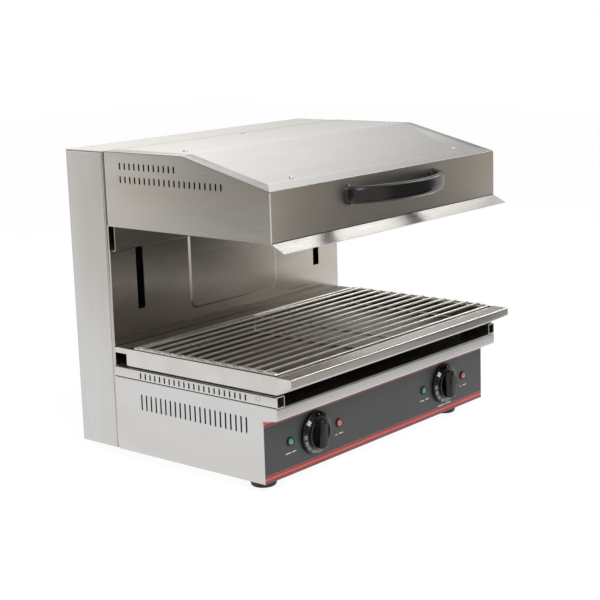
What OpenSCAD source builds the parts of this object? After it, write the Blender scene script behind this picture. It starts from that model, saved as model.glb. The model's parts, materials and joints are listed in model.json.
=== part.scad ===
// Lift-top electric cheese melter (salamander grill).
// A rear tower carries a hood on two guide rods; a cast counterweight on two
// wire ropes balances it.  The base holds the controls, two runner rails, a
// grill pan and a wire rack.
// Working axes inside the modules: X to the right, Y to the back, Z up, with
// X = 0 in the middle, Y = 0 on the tower's front face and Z = 0 on the
// underside of the base.  in_place() moves that to the part's own origin, at
// the middle of the footprint on the surface that the feet stand on.

/* [Base] */
// How far the base stands out beyond the tower at each side
base_over = 2; // [1:0.5:6]
// Depth of the base in front of the tower
base_d = 360; // [345:1:380]
// Height of the base, underside to deck
base_h = 124; // [116:1:135]
// Height of the apron under the deck's front edge
apron_h = 20; // [16:1:26]
// How far the apron's underside drops towards the control panel
apron_drop = 5.5; // [3:0.5:8]
// Setback of the control panel behind the apron
panel_setback = 29; // [27:1:34]
// Gap between the panel's top edge and the apron's return
panel_top_gap = 0.4; // [0.3:0.1:1]
// Sheet thickness of base and tower
sheet_t = 1.5; // [1.2:0.1:2]
// Outer radius of the sheet bends
bend_r = 3; // [2.2:0.1:4]
// Width of the inner flanges of base and tower
flange_w = 14; // [10:1:18]
// Thickness of the printed panel skin
overlay_t = 0.4; // [0.2:0.1:0.8]

/* [Feet] */
// How far the side sheets and the panel hang below the floor sheet
hem_drop = 2.5; // [0:0.5:4]
// Height of a foot
foot_h = 16.5; // [10:0.5:25]
// Diameter of a foot
foot_d = 45; // [34:1:48]
// Left front foot: centre inward from the base side
foot_in_left = 32; // [28:1:60]
// Right front foot: centre inward from the base side
foot_in_right = 74; // [28:1:90]
// Front feet: centre back from the apron
foot_in_front = 62; // [60:1:90]
// Rear feet: centre inward from the base side
foot_in_side = 80; // [28:1:90]
// Rear feet: centre forward from the rear cover
foot_in_rear = 40; // [30:1:60]

/* [Tower] */
// Width of the tower
tower_w = 600; // [560:2:620]
// Depth of the tower with its rear cover
tower_d = 91; // [87:1:100]
// Height of the tower above the underside of the base
tower_h = 500.5; // [495:0.5:520]
// Return of the front panel round the tower's corners
corner_return = 5; // [4:0.5:8]
// Seam between neighbouring tower sheets
seam = 0.4; // [0.3:0.1:0.8]
// Lift slots: centre inward from the tower's side
slot_in = 68; // [60:1:75]
// Lift slots: width
slot_w = 16.5; // [14:0.5:20]
// Lift slots: room below the lift arms at their lowest
slot_under = 12.5; // [4:0.5:20]
// Lift slots: room above the lift arms at their highest
slot_over = 10; // [4:0.5:16]
// Pressed field: distance from the tower's sides
press_side = 185; // [160:1:210]
// Pressed field: height of its lower edge
press_bottom = 203; // [195:1:215]
// Pressed field: distance of its upper edge from the tower's top
press_in = 30.5; // [20:0.5:60]
// Pressed field: corner radius
press_r = 14; // [8:1:24]
// Pressed field: how far it stands out
press_rise = 1.8; // [1:0.1:2.4]
// Pressed field: width of its sloping border
press_slope = 4; // [2:0.5:6]

/* [Hood] */
// How far the hood stands out beyond the tower at each side
hood_over = 2; // [1:0.5:6]
// Sheet thickness of the hood
hood_t = 1.2; // [1:0.1:1.5]
// Gap between the hood's sides and the tower
hood_gap = 4; // [3:0.5:8]
// Reach of the hood's front face from the tower
hood_d = 360; // [345:1:375]
// Height of the hood, lower edge to flat top
hood_h = 123; // [117:1:128]
// Rise of the hood's flat top above the tower, hood up
hood_rise = 0.5; // [0:0.1:6]
// Fall of the hood's top from the flat part to the front edge
hood_fall = 44.2; // [38:0.2:50]
// Depth of the hood's flat top, tower to slope
hood_flat = 181; // [170:1:200]
// Width of the hood's inner flanges
hood_flange = 12; // [9:1:16]
// Bevelled border of the hood cover: width
border_w = 22; // [16:1:28]
// Bevelled border of the hood cover: width at the rear
border_rear_w = 30; // [20:1:36]
// Bevelled border of the hood cover: rise
border_rise = 1.5; // [1:0.1:2.5]
// Rear plate: inset from the hood's sides
rear_plate_in = 7; // [5:1:12]
// Rear plate: distance of its front face from the tower
rear_plate_y = 11.2; // [10.5:0.1:13]
// Rear plate: how far it hangs below the hood's lower edge
rear_plate_drop = 43; // [33:1:45]
// Deflector: reach of its tip beyond the hood's face
lip_reach = 25; // [18:1:30]
// Deflector: drop of its tip below the hood's lower edge
lip_drop = 13; // [9:1:16]
// Deflector: depth of its flange under the hood
lip_flange = 14; // [10:1:18]

/* [Reflector and heaters] */
// Depth of the reflector dish above the hood's lower edge
dish_h = 38; // [34:1:44]
// Run of the dish's sloping walls
dish_slope = 30; // [22:1:36]
// Width of the dish's rim
dish_rim = 14; // [12:1:18]
// Heater tube diameter
heater_d = 8; // [6.5:0.5:9]
// Distance between heater runs
heater_pitch = 40; // [34:1:42]
// Number of runs of each heater
heater_runs = 6; // [4:2:6]
// Heater tube below the reflector, centre to sheet
heater_drop = 20; // [16:1:24]
// Length of the straight heater runs
heater_l = 232; // [200:2:240]
// Clearance of the heater tube in its clips
clip_play = 0.3; // [0.2:0.05:0.5]
// Thickness of a heater clip
clip_t = 1.5; // [1:0.1:2]
// Thickness of the mineral wool on the reflector
wool_h = 20; // [10:1:24]

/* [Handle] */
// Height of the handle's middle above the hood's lower edge
handle_rise = 52; // [42:1:60]
// Half distance between the handle's roots
handle_half = 118; // [100:1:130]
// Reach of the grip's outer face
handle_reach = 60; // [50:1:70]
// Thickness of the grip, seen from above
grip_t = 16; // [12:0.5:18]
// Height of the grip
grip_h = 28.5; // [22:0.5:31]
// Roundness of the bow: 2 is an ellipse
bow_power = 1.95; // [1.6:0.05:2.4]
// Height of a root pad
pad_h = 32; // [26:1:34]
// Width of a root pad
pad_w = 19; // [16:1:22]

/* [Vent slots] */
// Distance between neighbouring vent slots
vent_pitch = 11.1; // [9:0.1:12]
// Width of a vent slot
vent_w = 3.3; // [2:0.1:4]
// Height of the hood's vent slots
hood_vent_h = 11.5; // [8:0.5:12]
// Height of the base's vent slots
base_vent_h = 27; // [18:1:30]
// Height of the rails' vent slots
rail_vent_h = 10.5; // [8:0.5:11]
// Number of slots in the base sides and in the rails
base_vents = 22; // [12:1:22]
// Number of slots in the hood's lower row
hood_vents_low = 21; // [10:1:22]
// Number of slots in the hood's upper row
hood_vents_high = 12; // [6:1:12]

/* [Rails, pan and rack] */
// Width of a rail
rail_w = 18; // [15:1:22]
// Height of a rail
rail_h = 18.5; // [17:0.5:20]
// Gap between rail and pan
pan_gap = 0.4; // [0.3:0.1:0.8]
// Distance of the pan's sides inside the base sides
pan_side = 2; // [0:0.5:14]
// Depth of the pan, bottom to rim
pan_h = 31; // [28:1:36]
// Distance of the pan's rear wall from the tower
pan_rear = 28.5; // [24:0.5:34]
// Distance of the pan's front wall from the tower
pan_front = 359; // [345:1:365]
// Pan sheet thickness
pan_t = 1.2; // [1:0.1:1.5]
// Pan lip: reach in front of the front wall
pan_lip = 30.5; // [22:0.5:36]
// Pan lip: how far it stands out beyond the pan at each side
pan_lip_over = 2.5; // [0:0.5:4]
// Pan lip: height of its turned-down edge
pan_lip_h = 13; // [8:1:16]
// Pan lip: height of its end plates at the pan's wall
pan_gusset_h = 27.5; // [20:0.5:29]
// Rear flange of the pan: height of its turned-down edge
pan_tail_h = 9; // [6:1:12]
// Gap between the pan's rear flange and the tower
pan_tail_gap = 1; // [0.6:0.1:3]
// Rack: distance of its frame from the pan's side and front walls
rack_in = 4.8; // [4:0.2:10]
// Rack: distance of its frame from the pan's rear wall
rack_rear_in = 10.3; // [4:0.1:16]
// Rack: frame wire diameter
frame_wire = 5; // [4.5:0.5:6]
// Rack: leg wire diameter
leg_wire = 4.5; // [4:0.5:5.5]
// Rack: cross wire diameter
cross_wire = 4; // [3:0.5:4.5]
// Rack: number of cross wires
cross_wires = 12; // [8:1:16]
// Rack: height of the frame wire's middle above the pan's rim
rack_rise = 0.6; // [-3:0.2:2]
// Rack: distance of the outer legs from the pan's sides
leg_side = 16; // [12:1:60]
// Rack: clearance of its legs above the pan's floor
leg_gap = 0.3; // [0.3:0.1:1]

/* [Controls] */
// Knobs: distance from the base sides
knob_in = 122; // [110:1:140]
// Controls: height above the underside of the base
control_z = 52.4; // [46:0.2:54]
// Knob skirt diameter
skirt_d = 71; // [60:1:72]
// Knob skirt height at its edge
skirt_h = 4.3; // [4:0.1:7]
// Rise of the knob's sloping scale face
skirt_face = 3.5; // [2:0.1:5]
// Diameter of the knob's raised ring
knob_d = 50; // [40:1:54]
// Height of the knob's raised ring above the scale face
boss_h = 4; // [2:0.5:6]
// Height of the grip bar above the scale face
knob_h = 14.5; // [13:0.5:19]
// Width of the grip bar
knob_bar = 13.5; // [12:0.5:18]
// Lamps: distance from their knob
lamp_x = 61; // [56:1:66]
// Lamp bezel diameter
lamp_d = 15; // [12:0.5:16]
// Thermostat shaft diameter
shaft_d = 6; // [5:0.5:8]
// Radial running clearance of shafts, rods and pulleys
run_play = 0.05; // [0.03:0.01:0.08]
// Gap between the knob and the panel
knob_gap = 1.2; // [0.8:0.1:1.6]

/* [Lift] */
// Gap between pan and rear plate, hood down
closed_gap = 11.1; // [8:0.1:40]
// Guide rod diameter
rod_d = 12; // [10:1:14]
// Guide rod: distance behind the tower's front face
rod_y = 34; // [33:0.5:36]
// Pulley: pitch diameter, from rope to rope
pulley_d = 40; // [38:0.5:41]
// Pulley: width
pulley_w = 9; // [7:0.5:11]
// Wire rope diameter
rope_d = 3; // [2:0.5:4]
// Wire ropes: distance inward from the guide rods
rope_in = 42; // [38:1:48]
// Counterweight thickness
weight_t = 18; // [14:0.5:19]
// Counterweight height
weight_h = 190; // [140:5:190]
// How far the counterweight reaches beyond the ropes
weight_over = 15; // [8:1:18]
// Sliding play of the counterweight in its guides
weight_play = 1; // [0.6:0.1:1.5]

/* [Hidden] */
$fn = 48;

eps = 0.01;
far = 1000;
steel = "#c9c9c6";
dark_steel = "#8f8b84";

// Widths that follow the tower
tower_x = tower_w / 2;
base_w = tower_w + 2 * base_over;
base_x = base_w / 2;
hood_w = tower_w + 2 * hood_over;
hood_x = hood_w / 2;
pan_w = base_w - 2 * pan_side;
pan_lip_w = pan_w + 2 * pan_lip_over;
press_w = tower_w - 2 * press_side;
slot_x = tower_x - slot_in;
rope_x = slot_x - rope_in;
weight_half = rope_x + weight_over;
leg_x = pan_w / 2 - leg_side;
knob_x = base_x - knob_in;

// Heights that follow the tower and the base
tower_top = tower_h - sheet_t;
press_top = tower_h - press_in;
hood_top = tower_h + hood_rise;
hood_bottom = hood_top - hood_h;
hood_front_top = hood_top - hood_fall;
rear_plate_bottom = hood_bottom - rear_plate_drop;
lip_tip = hood_bottom - lip_drop;
handle_z = hood_bottom + handle_rise;
rail_top = base_h + rail_h;
pan_z = rail_top + pan_gap;
pan_top = pan_z + pan_h;
travel = rear_plate_bottom - pan_top - closed_gap;

// Cable gland
gland_side = 55;
gland_x = tower_x - gland_side;
gland_z = 38;
gland_out = 18;
gland_in = 8;
gland_thread = 20;
gland_hex = [27, 5];
gland_nut = [28, 4];
gland_cap = [11, 8, 7];
cord_bore = 9.5;
poles = 5;
pole_pitch = 12;
pole_y = 8;

// Part origin: middle of the footprint
front_reach = hood_d + handle_reach;
rear_reach = tower_d + gland_out;
origin_y = (front_reach - rear_reach) / 2;

// Tower
cable_door_w = 56;
cable_door_h = 36;
louvre_pitch = 22;
louvre_side = 9;
louvre_w = 4;
louvre_h = 34;
louvre_low = 96;
louvre_high = 80.5;
louvre_z = [louvre_low, tower_h - louvre_high];
rear_screw_in = 9;
rear_screw_low = 12;
rear_screw_step = (tower_top - 2 * rear_screw_low) / 3;

// Base
base_flange_z = 14;
panel_flange_drop = 4;
floor_fold = 12;
floor_step = 2;
floor_vent = [6, 44];
floor_vent_pitch = [60, 40];
floor_vent_y = -170;
apron_bottom = base_h - apron_h;
panel_y = -base_d + panel_setback;
panel_back = panel_y + overlay_t;
panel_top = apron_bottom - apron_drop - panel_top_gap;
rear_in = tower_d - sheet_t;
rear_wall_x = tower_x - sheet_t;
vent_start = 62.1;
base_vent_in = 36;
base_vent_z = base_h - base_vent_in;
wall_gap = 0.3;
hood_vent_shift = 22.3;
hood_vent_in = [44.2, 22.5];
hood_vent_z = [for (d = hood_vent_in) hood_top - d];

// Feet
peg_d = 8;
peg_l = 6;
foot_ring_r = 9;
foot_recess_r = 7;
foot_recess_z = -foot_h * 0.4;
foot_side_z = -foot_h * 0.45;

// Lift arms and rods
housing_wall = 7;
housing_d = rod_d + 2 * housing_wall;
bush_t = 2;
bush_l = 22;
bush_fit = 0.02;
arm_low = 12;
arm_h = 80;
arm_bottom = hood_bottom + arm_low;
arm_top = arm_bottom + arm_h;
slot_bottom = arm_bottom - travel - slot_under;
slot_top = arm_top + slot_over;
arm_t = 6;
arm_root_in = 2;
arm_end_in = 8;
arm_flange_t = 4;
arm_flange_w = 40;
bolt_d = 6;
bolt_end = 14;
bolt_z = [arm_bottom + bolt_end, arm_top - bolt_end];
bar_over = 8;
bar_under = 75.5;
upper_bar = arm_top + bar_over;
lower_bar = slot_bottom - bar_under;
bar_h = 12;
bar_front = 20;
upper_bar_back = 80;
lower_bar_back = 58;
stub_step = 1;
stub_d = rod_d - 2 * stub_step;
nut_h = 6;
nut_d = stub_d * 1.85;
bolt_in = 13;
bolt_head = 11;
bolt_head_h = 3.5;
lug_h = 12;
lug_half = 5;
lug_over = 6;
lug_rise = 14;
lug_z = arm_bottom + lug_rise;
ferrule_wall = 2;
ferrule_d = rope_d + 2 * ferrule_wall;
ferrule_h = 8;
lug_top = lug_z + lug_h + ferrule_h;

// Pulleys, ropes and counterweight
pulley_r = pulley_d / 2;
pulley_y = rod_y + pulley_r;
pulley_below = 28;
pulley_z = upper_bar - pulley_below;
pulley_rim = 0.6;
pulley_web_in = 1.5;
hub_t = 4;
axle_d = 8;
axle_head = 2;
cheek_t = 2.5;
cheek_gap = 0.6;
cheek_root = [20, 6];
cheek_tip = [10, 12, 9];
rope_gap = 0.3;
rope_rear_y = rod_y + pulley_d;
weight_z = 22;
weight_r = 3;
guide_over = 20;
weight_top = weight_z + weight_h;
weight_y = rope_rear_y - weight_t / 2;

// Hood
slope_run = hood_d - hood_flat;
slope_angle = atan(hood_fall / slope_run);
cover_t = hood_t;
dish_top = hood_bottom + dish_h;
dish_x = hood_x - hood_t - wall_gap;
dish_front = -hood_d + hood_t + wall_gap;
dish_rear = -rear_plate_y - wall_gap;
heater_z = dish_top - hood_t - heater_drop;
heater_y = (dish_front + dish_rear) / 2;
heater_half = (heater_runs - 1) * heater_pitch / 2;
heater_side = 12;
heater_x = heater_half + heater_pitch / 2 + heater_side;
bead_wall = 3;
bead_d = heater_d + 2 * bead_wall;
clip_y = 72;
terminal_in = 8;
terminal_y = heater_y + heater_l / 2 - terminal_in;
terminal_spots = [for (s = [-1, 1]) for (t = [-1, 1]) [s * (heater_x + t * heater_half), terminal_y]];
heater_bend = 12;
clip_margin = 12;
bead_flange = 5;
bead_flange_t = 3;
bead_l = 9;
wool_gap = 6;
rib_w = 22;
rib_fold = 9;
rib_spots = [-30, -150, -327];
handle_screw_d = 4.5;
handle_screw_in = 14;
pad_t = 4;
grip_power = 0.7;

// Rails, pan and rack
pan_floor = pan_z + pan_t;
rack_z = pan_top + rack_rise;
rack_x = pan_w / 2 - pan_t - rack_in;
rack_front = -pan_front + pan_t + rack_in;
rack_rear = -pan_rear - pan_t - rack_rear_in;
rack_corner = 7;
rail_r = 2.5;
cross_rear_in = 21;
cross_front_in = 22.5;
cross_pitch = (rack_rear - rack_front - cross_rear_in - cross_front_in) / (cross_wires - 1);
cross_over = 2;
weld_in = 1.5;
support_drop = 0.8;
cross_z = rack_z + (frame_wire + cross_wire) / 2 - weld_in;
leg_z = pan_floor + leg_gap + leg_wire / 2;
leg_bend = 8;
leg_in = 4;

// Controls
plate_t = 1.5;
plate_half = [28, 13];
switch_half = [22, 17];
switch_depth = 30;
tag_x = [-15, -5, 5, 15];
tag_size = [0.8, 8, 6.3];
sleeve_d = shaft_d + 4;
sleeve_out = 2;
shaft_in = 20;
knob_back = panel_y - knob_gap;
knob_recess_d = sleeve_d + 14;
knob_recess = 3.5;
knob_bore = 10;
boss_rim = 3.5;
boss_floor = 0.4;
bar_side = 1;
bar_taper = 0.6;
bar_r = [6, 1.5];
shaft_flat = 12;
shaft_end = 1.5;
lamp_lift = 0.4;
bezel_h = 2.6;
lens_d = lamp_d - 4;
lens_seat = 0.4;
lens_rim = 1.4;
lens_dome = 2.6;
lamp_body_d = lamp_d - 3.5;
lamp_body_l = 18;
lamp_nut_h = 3.5;

// Fasteners: shank diameter, head diameter, head height
screw_d = 4;
screw_head = 8.4;
screw_head_h = 2.4;
screw_l = 6;
cover_screw_l = 7;
hole_play = 0.15;
hole_l = 14;

// Hood cover screws: shares of the hood's half width and of its depth
cover_screw_at = [[-0.851, 0.403], [0.854, 0.439], [0.017, 0.083], [-0.705, 0.908], [0.745, 0.908]];
cover_screws = [for (c = cover_screw_at) [c[0] * hood_x, -c[1] * hood_d]];
rear_screws = [for (x = [-1, 1]) for (i = [0:3])
    [x * (tower_x - rear_screw_in), rear_screw_low + i * rear_screw_step]];
rail_screw_y = -320;
rail_screw_z = base_h + rail_h / 2;
rail_vent_z = (base_h + rail_top - 1) / 2;
rear_foot_y = tower_d - foot_in_rear;
foot_spots = [[-base_x + foot_in_left, -base_d + foot_in_front], [base_x - foot_in_right,
    -base_d + foot_in_front], [-base_x + foot_in_side, rear_foot_y], [base_x - foot_in_side, rear_foot_y]];

// ---------- functions ----------

function unit(v) = v / norm(v);
function xy(p) = [p[0], p[1]];
function radius_of(p) = len(p) > 2 ? p[2] : 0;
function turn(a, b) = a[0] * b[1] - a[1] * b[0];

// Arc of n steps that rounds the corner p1 between p0 and p2
function corner_arc(p0, p1, p2, r, n) =
    let (a = unit(p0 - p1), b = unit(p2 - p1), half = acos(max(-1, min(1, a * b))) / 2)
    (r <= 0 || half > 89.5) ? [p1] :
    let (c = p1 + unit(a + b) * r / sin(half), s = p1 + a * r / tan(half) - c,
         e = p1 + b * r / tan(half) - c, start = atan2(s[1], s[0]),
         sweep = atan2(turn(s, e), s * e))
    [for (i = [0:n]) c + r * [cos(start + sweep * i / n), sin(start + sweep * i / n)]];

// Closed outline; each point is [x, y] or [x, y, corner radius]
function rounded(pts, n = 4) =
    let (k = len(pts))
    [for (i = [0:k - 1]) each corner_arc(xy(pts[(i + k - 1) % k]), xy(pts[i]),
        xy(pts[(i + 1) % k]), radius_of(pts[i]), n)];

// Open line with rounded bends
function bent(path, n = 4) =
    let (k = len(path))
    [for (i = [0:k - 1]) each (i == 0 || i == k - 1) ? [xy(path[i])] :
        corner_arc(xy(path[i - 1]), xy(path[i]), xy(path[i + 1]), radius_of(path[i]), n)];

// The same line moved t to its left, with the bend radii that follow
function shifted(path, t) =
    let (k = len(path))
    [for (i = [0:k - 1])
        let (p = xy(path[i]),
             u = i > 0 ? unit(p - xy(path[i - 1])) : unit(xy(path[1]) - p),
             v = i < k - 1 ? unit(xy(path[i + 1]) - p) : u,
             nu = [-u[1], u[0]], nv = [-v[1], v[0]],
             m = (nu + nv) / (1 + nu * nv), r = radius_of(path[i]))
        [p[0] + m[0] * t, p[1] + m[1] * t,
         r == 0 ? 0 : max(0, turn(u, v) > 0 ? r - t : r + t)]];

// Section of a folded sheet: the line is one face, t is to its left
function sheet_section(path, t) =
    let (a = bent(path), b = bent(shifted(path, t)))
    concat(a, [for (i = [len(b) - 1:-1:0]) b[i]]);

// Height of the hood's outer top at a distance y (negative) from the tower
function roof(y) = hood_top - max(0, -y - hood_flat) * hood_fall / slope_run;

// Bow of the handle's centre line; t runs from 0 (left root) to 180
function bow(t) =
    let (s = sin(t), c = cos(t), reach = handle_reach - grip_t / 2, p = 2 / bow_power)
    [-handle_half * sign(c) * pow(abs(c), p), -hood_d - reach * pow(abs(s), p)];

// ---------- helpers ----------

module in_place() { translate([0, origin_y, foot_h]) children(); }

// Extrusions of a flat section: Y-Z along X, X-Z along Y and X-Y along Z
module along_x(x0, x1) { translate([x0, 0, 0]) rotate([90, 0, 90]) linear_extrude(x1 - x0) children(); }
module along_y(y0, y1) { translate([0, y1, 0]) rotate([90, 0, 0]) linear_extrude(y1 - y0) children(); }
module along_z(z0, z1) { translate([0, 0, z0]) linear_extrude(z1 - z0) children(); }

module sheet(path, t = sheet_t) { polygon(sheet_section(path, t)); }
module block(low, high) { translate(low) cube(high - low); }
module scale_x(s) { if (s < 0) mirror([1, 0, 0]) children(); else children(); }
module rod_x(d, x0, x1) { translate([x0, 0, 0]) rotate([0, 90, 0]) cylinder(d = d, h = x1 - x0); }
module rod_y(d, y0, y1) { translate([0, y1, 0]) rotate([90, 0, 0]) cylinder(d = d, h = y1 - y0); }

// Rectangle round the origin, given by its half sizes
module rounded_box(half, r) {
    polygon(rounded([for (c = [[-1, -1], [1, -1], [1, 1], [-1, 1]]) [c[0] * half[0], c[1] * half[1], r]]));
}

// Round-ended upright slot as a flat shape
module slot_shape(w, h) {
    square([w, h - w], center = true);
    for (s = [-1, 1]) translate([0, s * (h - w) / 2]) circle(d = w, $fn = 16);
}

// Row of upright slots cut through the walls on the right side
module vent_row(count, h, z) {
    for (i = [0:count - 1]) translate([0, -vent_start - i * vent_pitch, z])
        along_x(base_x / 2, far) slot_shape(vent_w, h);
}

// Pan-head screw, head up, seat at z = 0
module pan_screw(shank, length, head = screw_head, head_h = screw_head_h) {
    difference() {
        union() {
            rotate_extrude() polygon(rounded([[0, 0], [head / 2, 0], [head / 2, head_h, head_h * 0.8],
                [0, head_h]]));
            translate([0, 0, -length]) cylinder(d = shank, h = length + eps);
        }
        for (a = [0, 90]) rotate([0, 0, a + 20])
            translate([-head * 0.3, -head * 0.055, head_h * 0.45]) cube([head * 0.6, head * 0.11, head_h]);
    }
}

// ---------- tower ----------

module tower_side() {
    top = tower_top;
    difference() {
        union() {
            along_y(corner_return + seam, rear_in) sheet([[tower_x, -hem_drop], [tower_x, top, bend_r],
                [tower_x - flange_w, top]]);
            block([tower_x - flange_w, rear_in - sheet_t, sheet_t], [tower_x - eps, rear_in, top - bend_r]);
        }
        for (p = rear_screws) translate([abs(p[0]), 0, p[1]]) rod_y(screw_d + 2 * hole_play, 0, tower_d + 1);
    }
}

module tower_side_left() { color(steel) in_place() scale_x(-1) tower_side(); }
module tower_side_right() { color(steel) in_place() tower_side(); }

// Flat part of a pressed field: its edge line, slope inwards by s
module field_edge(s) {
    w = press_w / 2 - s;
    polygon(rounded([[-w, press_bottom + s, press_r], [w, press_bottom + s, press_r],
        [w, press_top - s, press_r], [-w, press_top - s, press_r]]));
}

// Solid pressed field that rises from y to y - press_rise
module field(y) {
    hull() {
        along_y(y, y + eps) field_edge(0);
        along_y(y - press_rise, y - press_rise + eps) field_edge(press_slope);
    }
}

module tower_front_panel() {
    color(dark_steel) in_place() difference() {
        union() {
            along_z(sheet_t, tower_top) sheet([[-tower_x, corner_return], [-tower_x, 0, bend_r],
                [tower_x, 0, bend_r], [tower_x, corner_return]]);
            field(0);
        }
        translate([0, sheet_t + eps, 0]) field(0);
        along_y(-1, sheet_t + 1) for (s = [-1, 1]) translate([s * slot_x, (slot_bottom + slot_top) / 2])
            square([slot_w, slot_top - slot_bottom], center = true);
        along_y(-1, sheet_t + 1) translate([0, base_h / 2])
            square([cable_door_w, cable_door_h], center = true);
    }
}

module tower_top_cover() {
    color(steel) in_place() block([-tower_x, 0, tower_top], [tower_x, tower_d, tower_h]);
}

module rear_cover() {
    color(steel) in_place() difference() {
        block([-tower_x, rear_in, -hem_drop], [tower_x, tower_d, tower_top]);
        for (x = [-louvre_side:louvre_side]) for (z = louvre_z) translate([x * louvre_pitch, 0, z])
            along_y(rear_in - 1, tower_d + 1) slot_shape(louvre_w, louvre_h);
        for (p = rear_screws) translate([p[0], 0, p[1]])
            rod_y(screw_d + 2 * hole_play, rear_in - 1, tower_d + 1);
        translate([gland_x, 0, gland_z]) rod_y(gland_thread + 2 * hole_play, rear_in - 1, tower_d + 1);
    }
}

module rear_cover_screws() {
    color("silver") in_place() for (p = rear_screws) translate([p[0], tower_d, p[1]])
        rotate([-90, 0, 0]) pan_screw(screw_d, screw_l);
}

// ---------- base ----------

function deck_path() = [[0, base_h], [-base_d, base_h, bend_r], [-base_d, apron_bottom, bend_r],
    [panel_back + sheet_t, apron_bottom - apron_drop]];

module base_side() {
    x = base_x;
    front = panel_back + sheet_t;
    difference() {
        union() {
            along_x(x - sheet_t, x) polygon(concat(bent(shifted(deck_path(), sheet_t)),
                [[front, -hem_drop], [0, -hem_drop]]));
            block([x - flange_w, front, base_flange_z],
                [x - eps, front + sheet_t, panel_top - panel_flange_drop]);
            block([x - flange_w, -sheet_t, base_flange_z], [x - eps, 0, base_h - sheet_t - wall_gap]);
        }
        vent_row(base_vents, base_vent_h, base_vent_z);
    }
}

module base_side_left() { color(steel) in_place() scale_x(-1) base_side(); }
module base_side_right() { color(steel) in_place() base_side(); }

module base_floor() {
    x = base_x - sheet_t - wall_gap;
    front = panel_back + 2 * sheet_t + wall_gap;
    color(steel) in_place() difference() {
        union() {
            along_y(front, -floor_step) sheet([[-x, floor_fold], [-x, 0, bend_r], [x, 0, bend_r],
                [x, floor_fold]]);
            block([-rear_wall_x, -floor_step - eps, 0], [rear_wall_x, rear_in, sheet_t]);
        }
        for (p = foot_spots) translate([p[0], p[1], -1]) cylinder(d = peg_d + 2 * hole_play, h = sheet_t + 2);
        for (x = [-3:3]) for (y = [-1:1])
            translate([x * floor_vent_pitch[0], floor_vent_y + y * floor_vent_pitch[1], 0])
                along_z(-1, sheet_t + 1) rotate(90) slot_shape(floor_vent[0], floor_vent[1]);
    }
}

module base_deck() {
    color(steel) in_place() along_x(-base_x, base_x) sheet(deck_path());
}

module panel_holes() {
    for (s = [-1, 1]) translate([s * knob_x, 0, control_z]) {
        rod_y(sleeve_d + 2 * hole_play, -base_d, 0);
        for (t = [-1, 1]) translate([t * lamp_x, 0, lamp_lift])
            rod_y(lamp_body_d + 2 * hole_play, -base_d, 0);
    }
}

module control_panel() {
    color(dark_steel) in_place() difference() {
        block([-base_x, panel_back, -hem_drop], [base_x, panel_back + sheet_t, panel_top]);
        panel_holes();
    }
}

module panel_overlay() {
    color("#4a4b4d") in_place() difference() {
        block([-base_x, panel_y, -hem_drop], [base_x, panel_back, panel_top]);
        panel_holes();
    }
}

module feet() {
    r = foot_d / 2;
    color("#1b1b1b") in_place() for (p = foot_spots) translate([p[0], p[1], 0]) {
        rotate_extrude() polygon(rounded([[foot_recess_r, 0], [r, 0], [r, foot_side_z],
            [r - 3, -foot_h, 3], [foot_ring_r, -foot_h], [foot_recess_r, foot_recess_z]]));
        translate([0, 0, foot_recess_z]) cylinder(d = peg_d, h = peg_l - foot_recess_z);
        translate([0, 0, foot_recess_z]) cylinder(r = foot_recess_r + eps, h = -foot_recess_z);
    }
}

// ---------- rails ----------

// Section of a rail, set in from its outer faces by d
module rail_outline(d) {
    r = rail_r - d;
    polygon(rounded([[base_x - rail_w + d, base_h + d, r], [base_x - d, base_h + d, r],
        [base_x - d, rail_top - d, r], [base_x - rail_w + d, rail_top - d, r]]));
}

module rail() {
    difference() {
        along_y(-base_d, -wall_gap) difference() {
            rail_outline(0);
            rail_outline(sheet_t);
        }
        vent_row(base_vents, rail_vent_h, rail_vent_z);
        translate([0, rail_screw_y, rail_screw_z])
            rod_x(screw_d + 2 * hole_play, base_x - rail_w / 2, base_x + 1);
    }
}

module rail_left() { color(steel) in_place() scale_x(-1) rail(); }
module rail_right() { color(steel) in_place() rail(); }

module rail_screws() {
    color("silver") in_place() for (s = [-1, 1]) scale_x(s)
        translate([base_x, rail_screw_y, rail_screw_z]) rotate([0, 90, 0]) pan_screw(screw_d, screw_l);
}

// ---------- lift ----------

module upper_crossbar() {
    color(dark_steel) in_place() difference() {
        along_x(-rear_wall_x, rear_wall_x) sheet([[bar_front, upper_bar + bar_h],
            [bar_front, upper_bar, bend_r], [upper_bar_back, upper_bar, bend_r],
            [upper_bar_back, upper_bar + bar_h]]);
        for (s = [-1, 1]) translate([s * slot_x, rod_y, upper_bar - 1])
            cylinder(d = stub_d + 2 * run_play, h = sheet_t + 2);
    }
}

module lower_crossbar() {
    color(dark_steel) in_place() difference() {
        along_x(-rear_wall_x, rear_wall_x) sheet([[lower_bar_back, lower_bar - bar_h],
            [lower_bar_back, lower_bar, bend_r], [bar_front, lower_bar, bend_r],
            [bar_front, lower_bar - bar_h]]);
        for (s = [-1, 1]) translate([s * slot_x, rod_y, lower_bar - sheet_t - 1])
            cylinder(d = stub_d + 2 * run_play, h = sheet_t + 2);
    }
}

module guide_rod(s) {
    stub = sheet_t + nut_h + 2;
    color("#dcdcdc") in_place() translate([s * slot_x, rod_y, 0]) {
        translate([0, 0, lower_bar]) cylinder(d = rod_d, h = upper_bar - lower_bar);
        translate([0, 0, lower_bar - stub]) cylinder(d = stub_d, h = upper_bar - lower_bar + 2 * stub);
    }
}

module guide_rod_left() { guide_rod(-1); }
module guide_rod_right() { guide_rod(1); }

module rod_nuts() {
    color("silver") in_place() for (s = [-1, 1]) for (z = [upper_bar + sheet_t, lower_bar - sheet_t - nut_h])
        translate([s * slot_x, rod_y, z]) difference() {
            cylinder(d = nut_d, h = nut_h, $fn = 6);
            translate([0, 0, -1]) cylinder(d = stub_d + 2 * run_play, h = nut_h + 2);
        }
}

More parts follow.
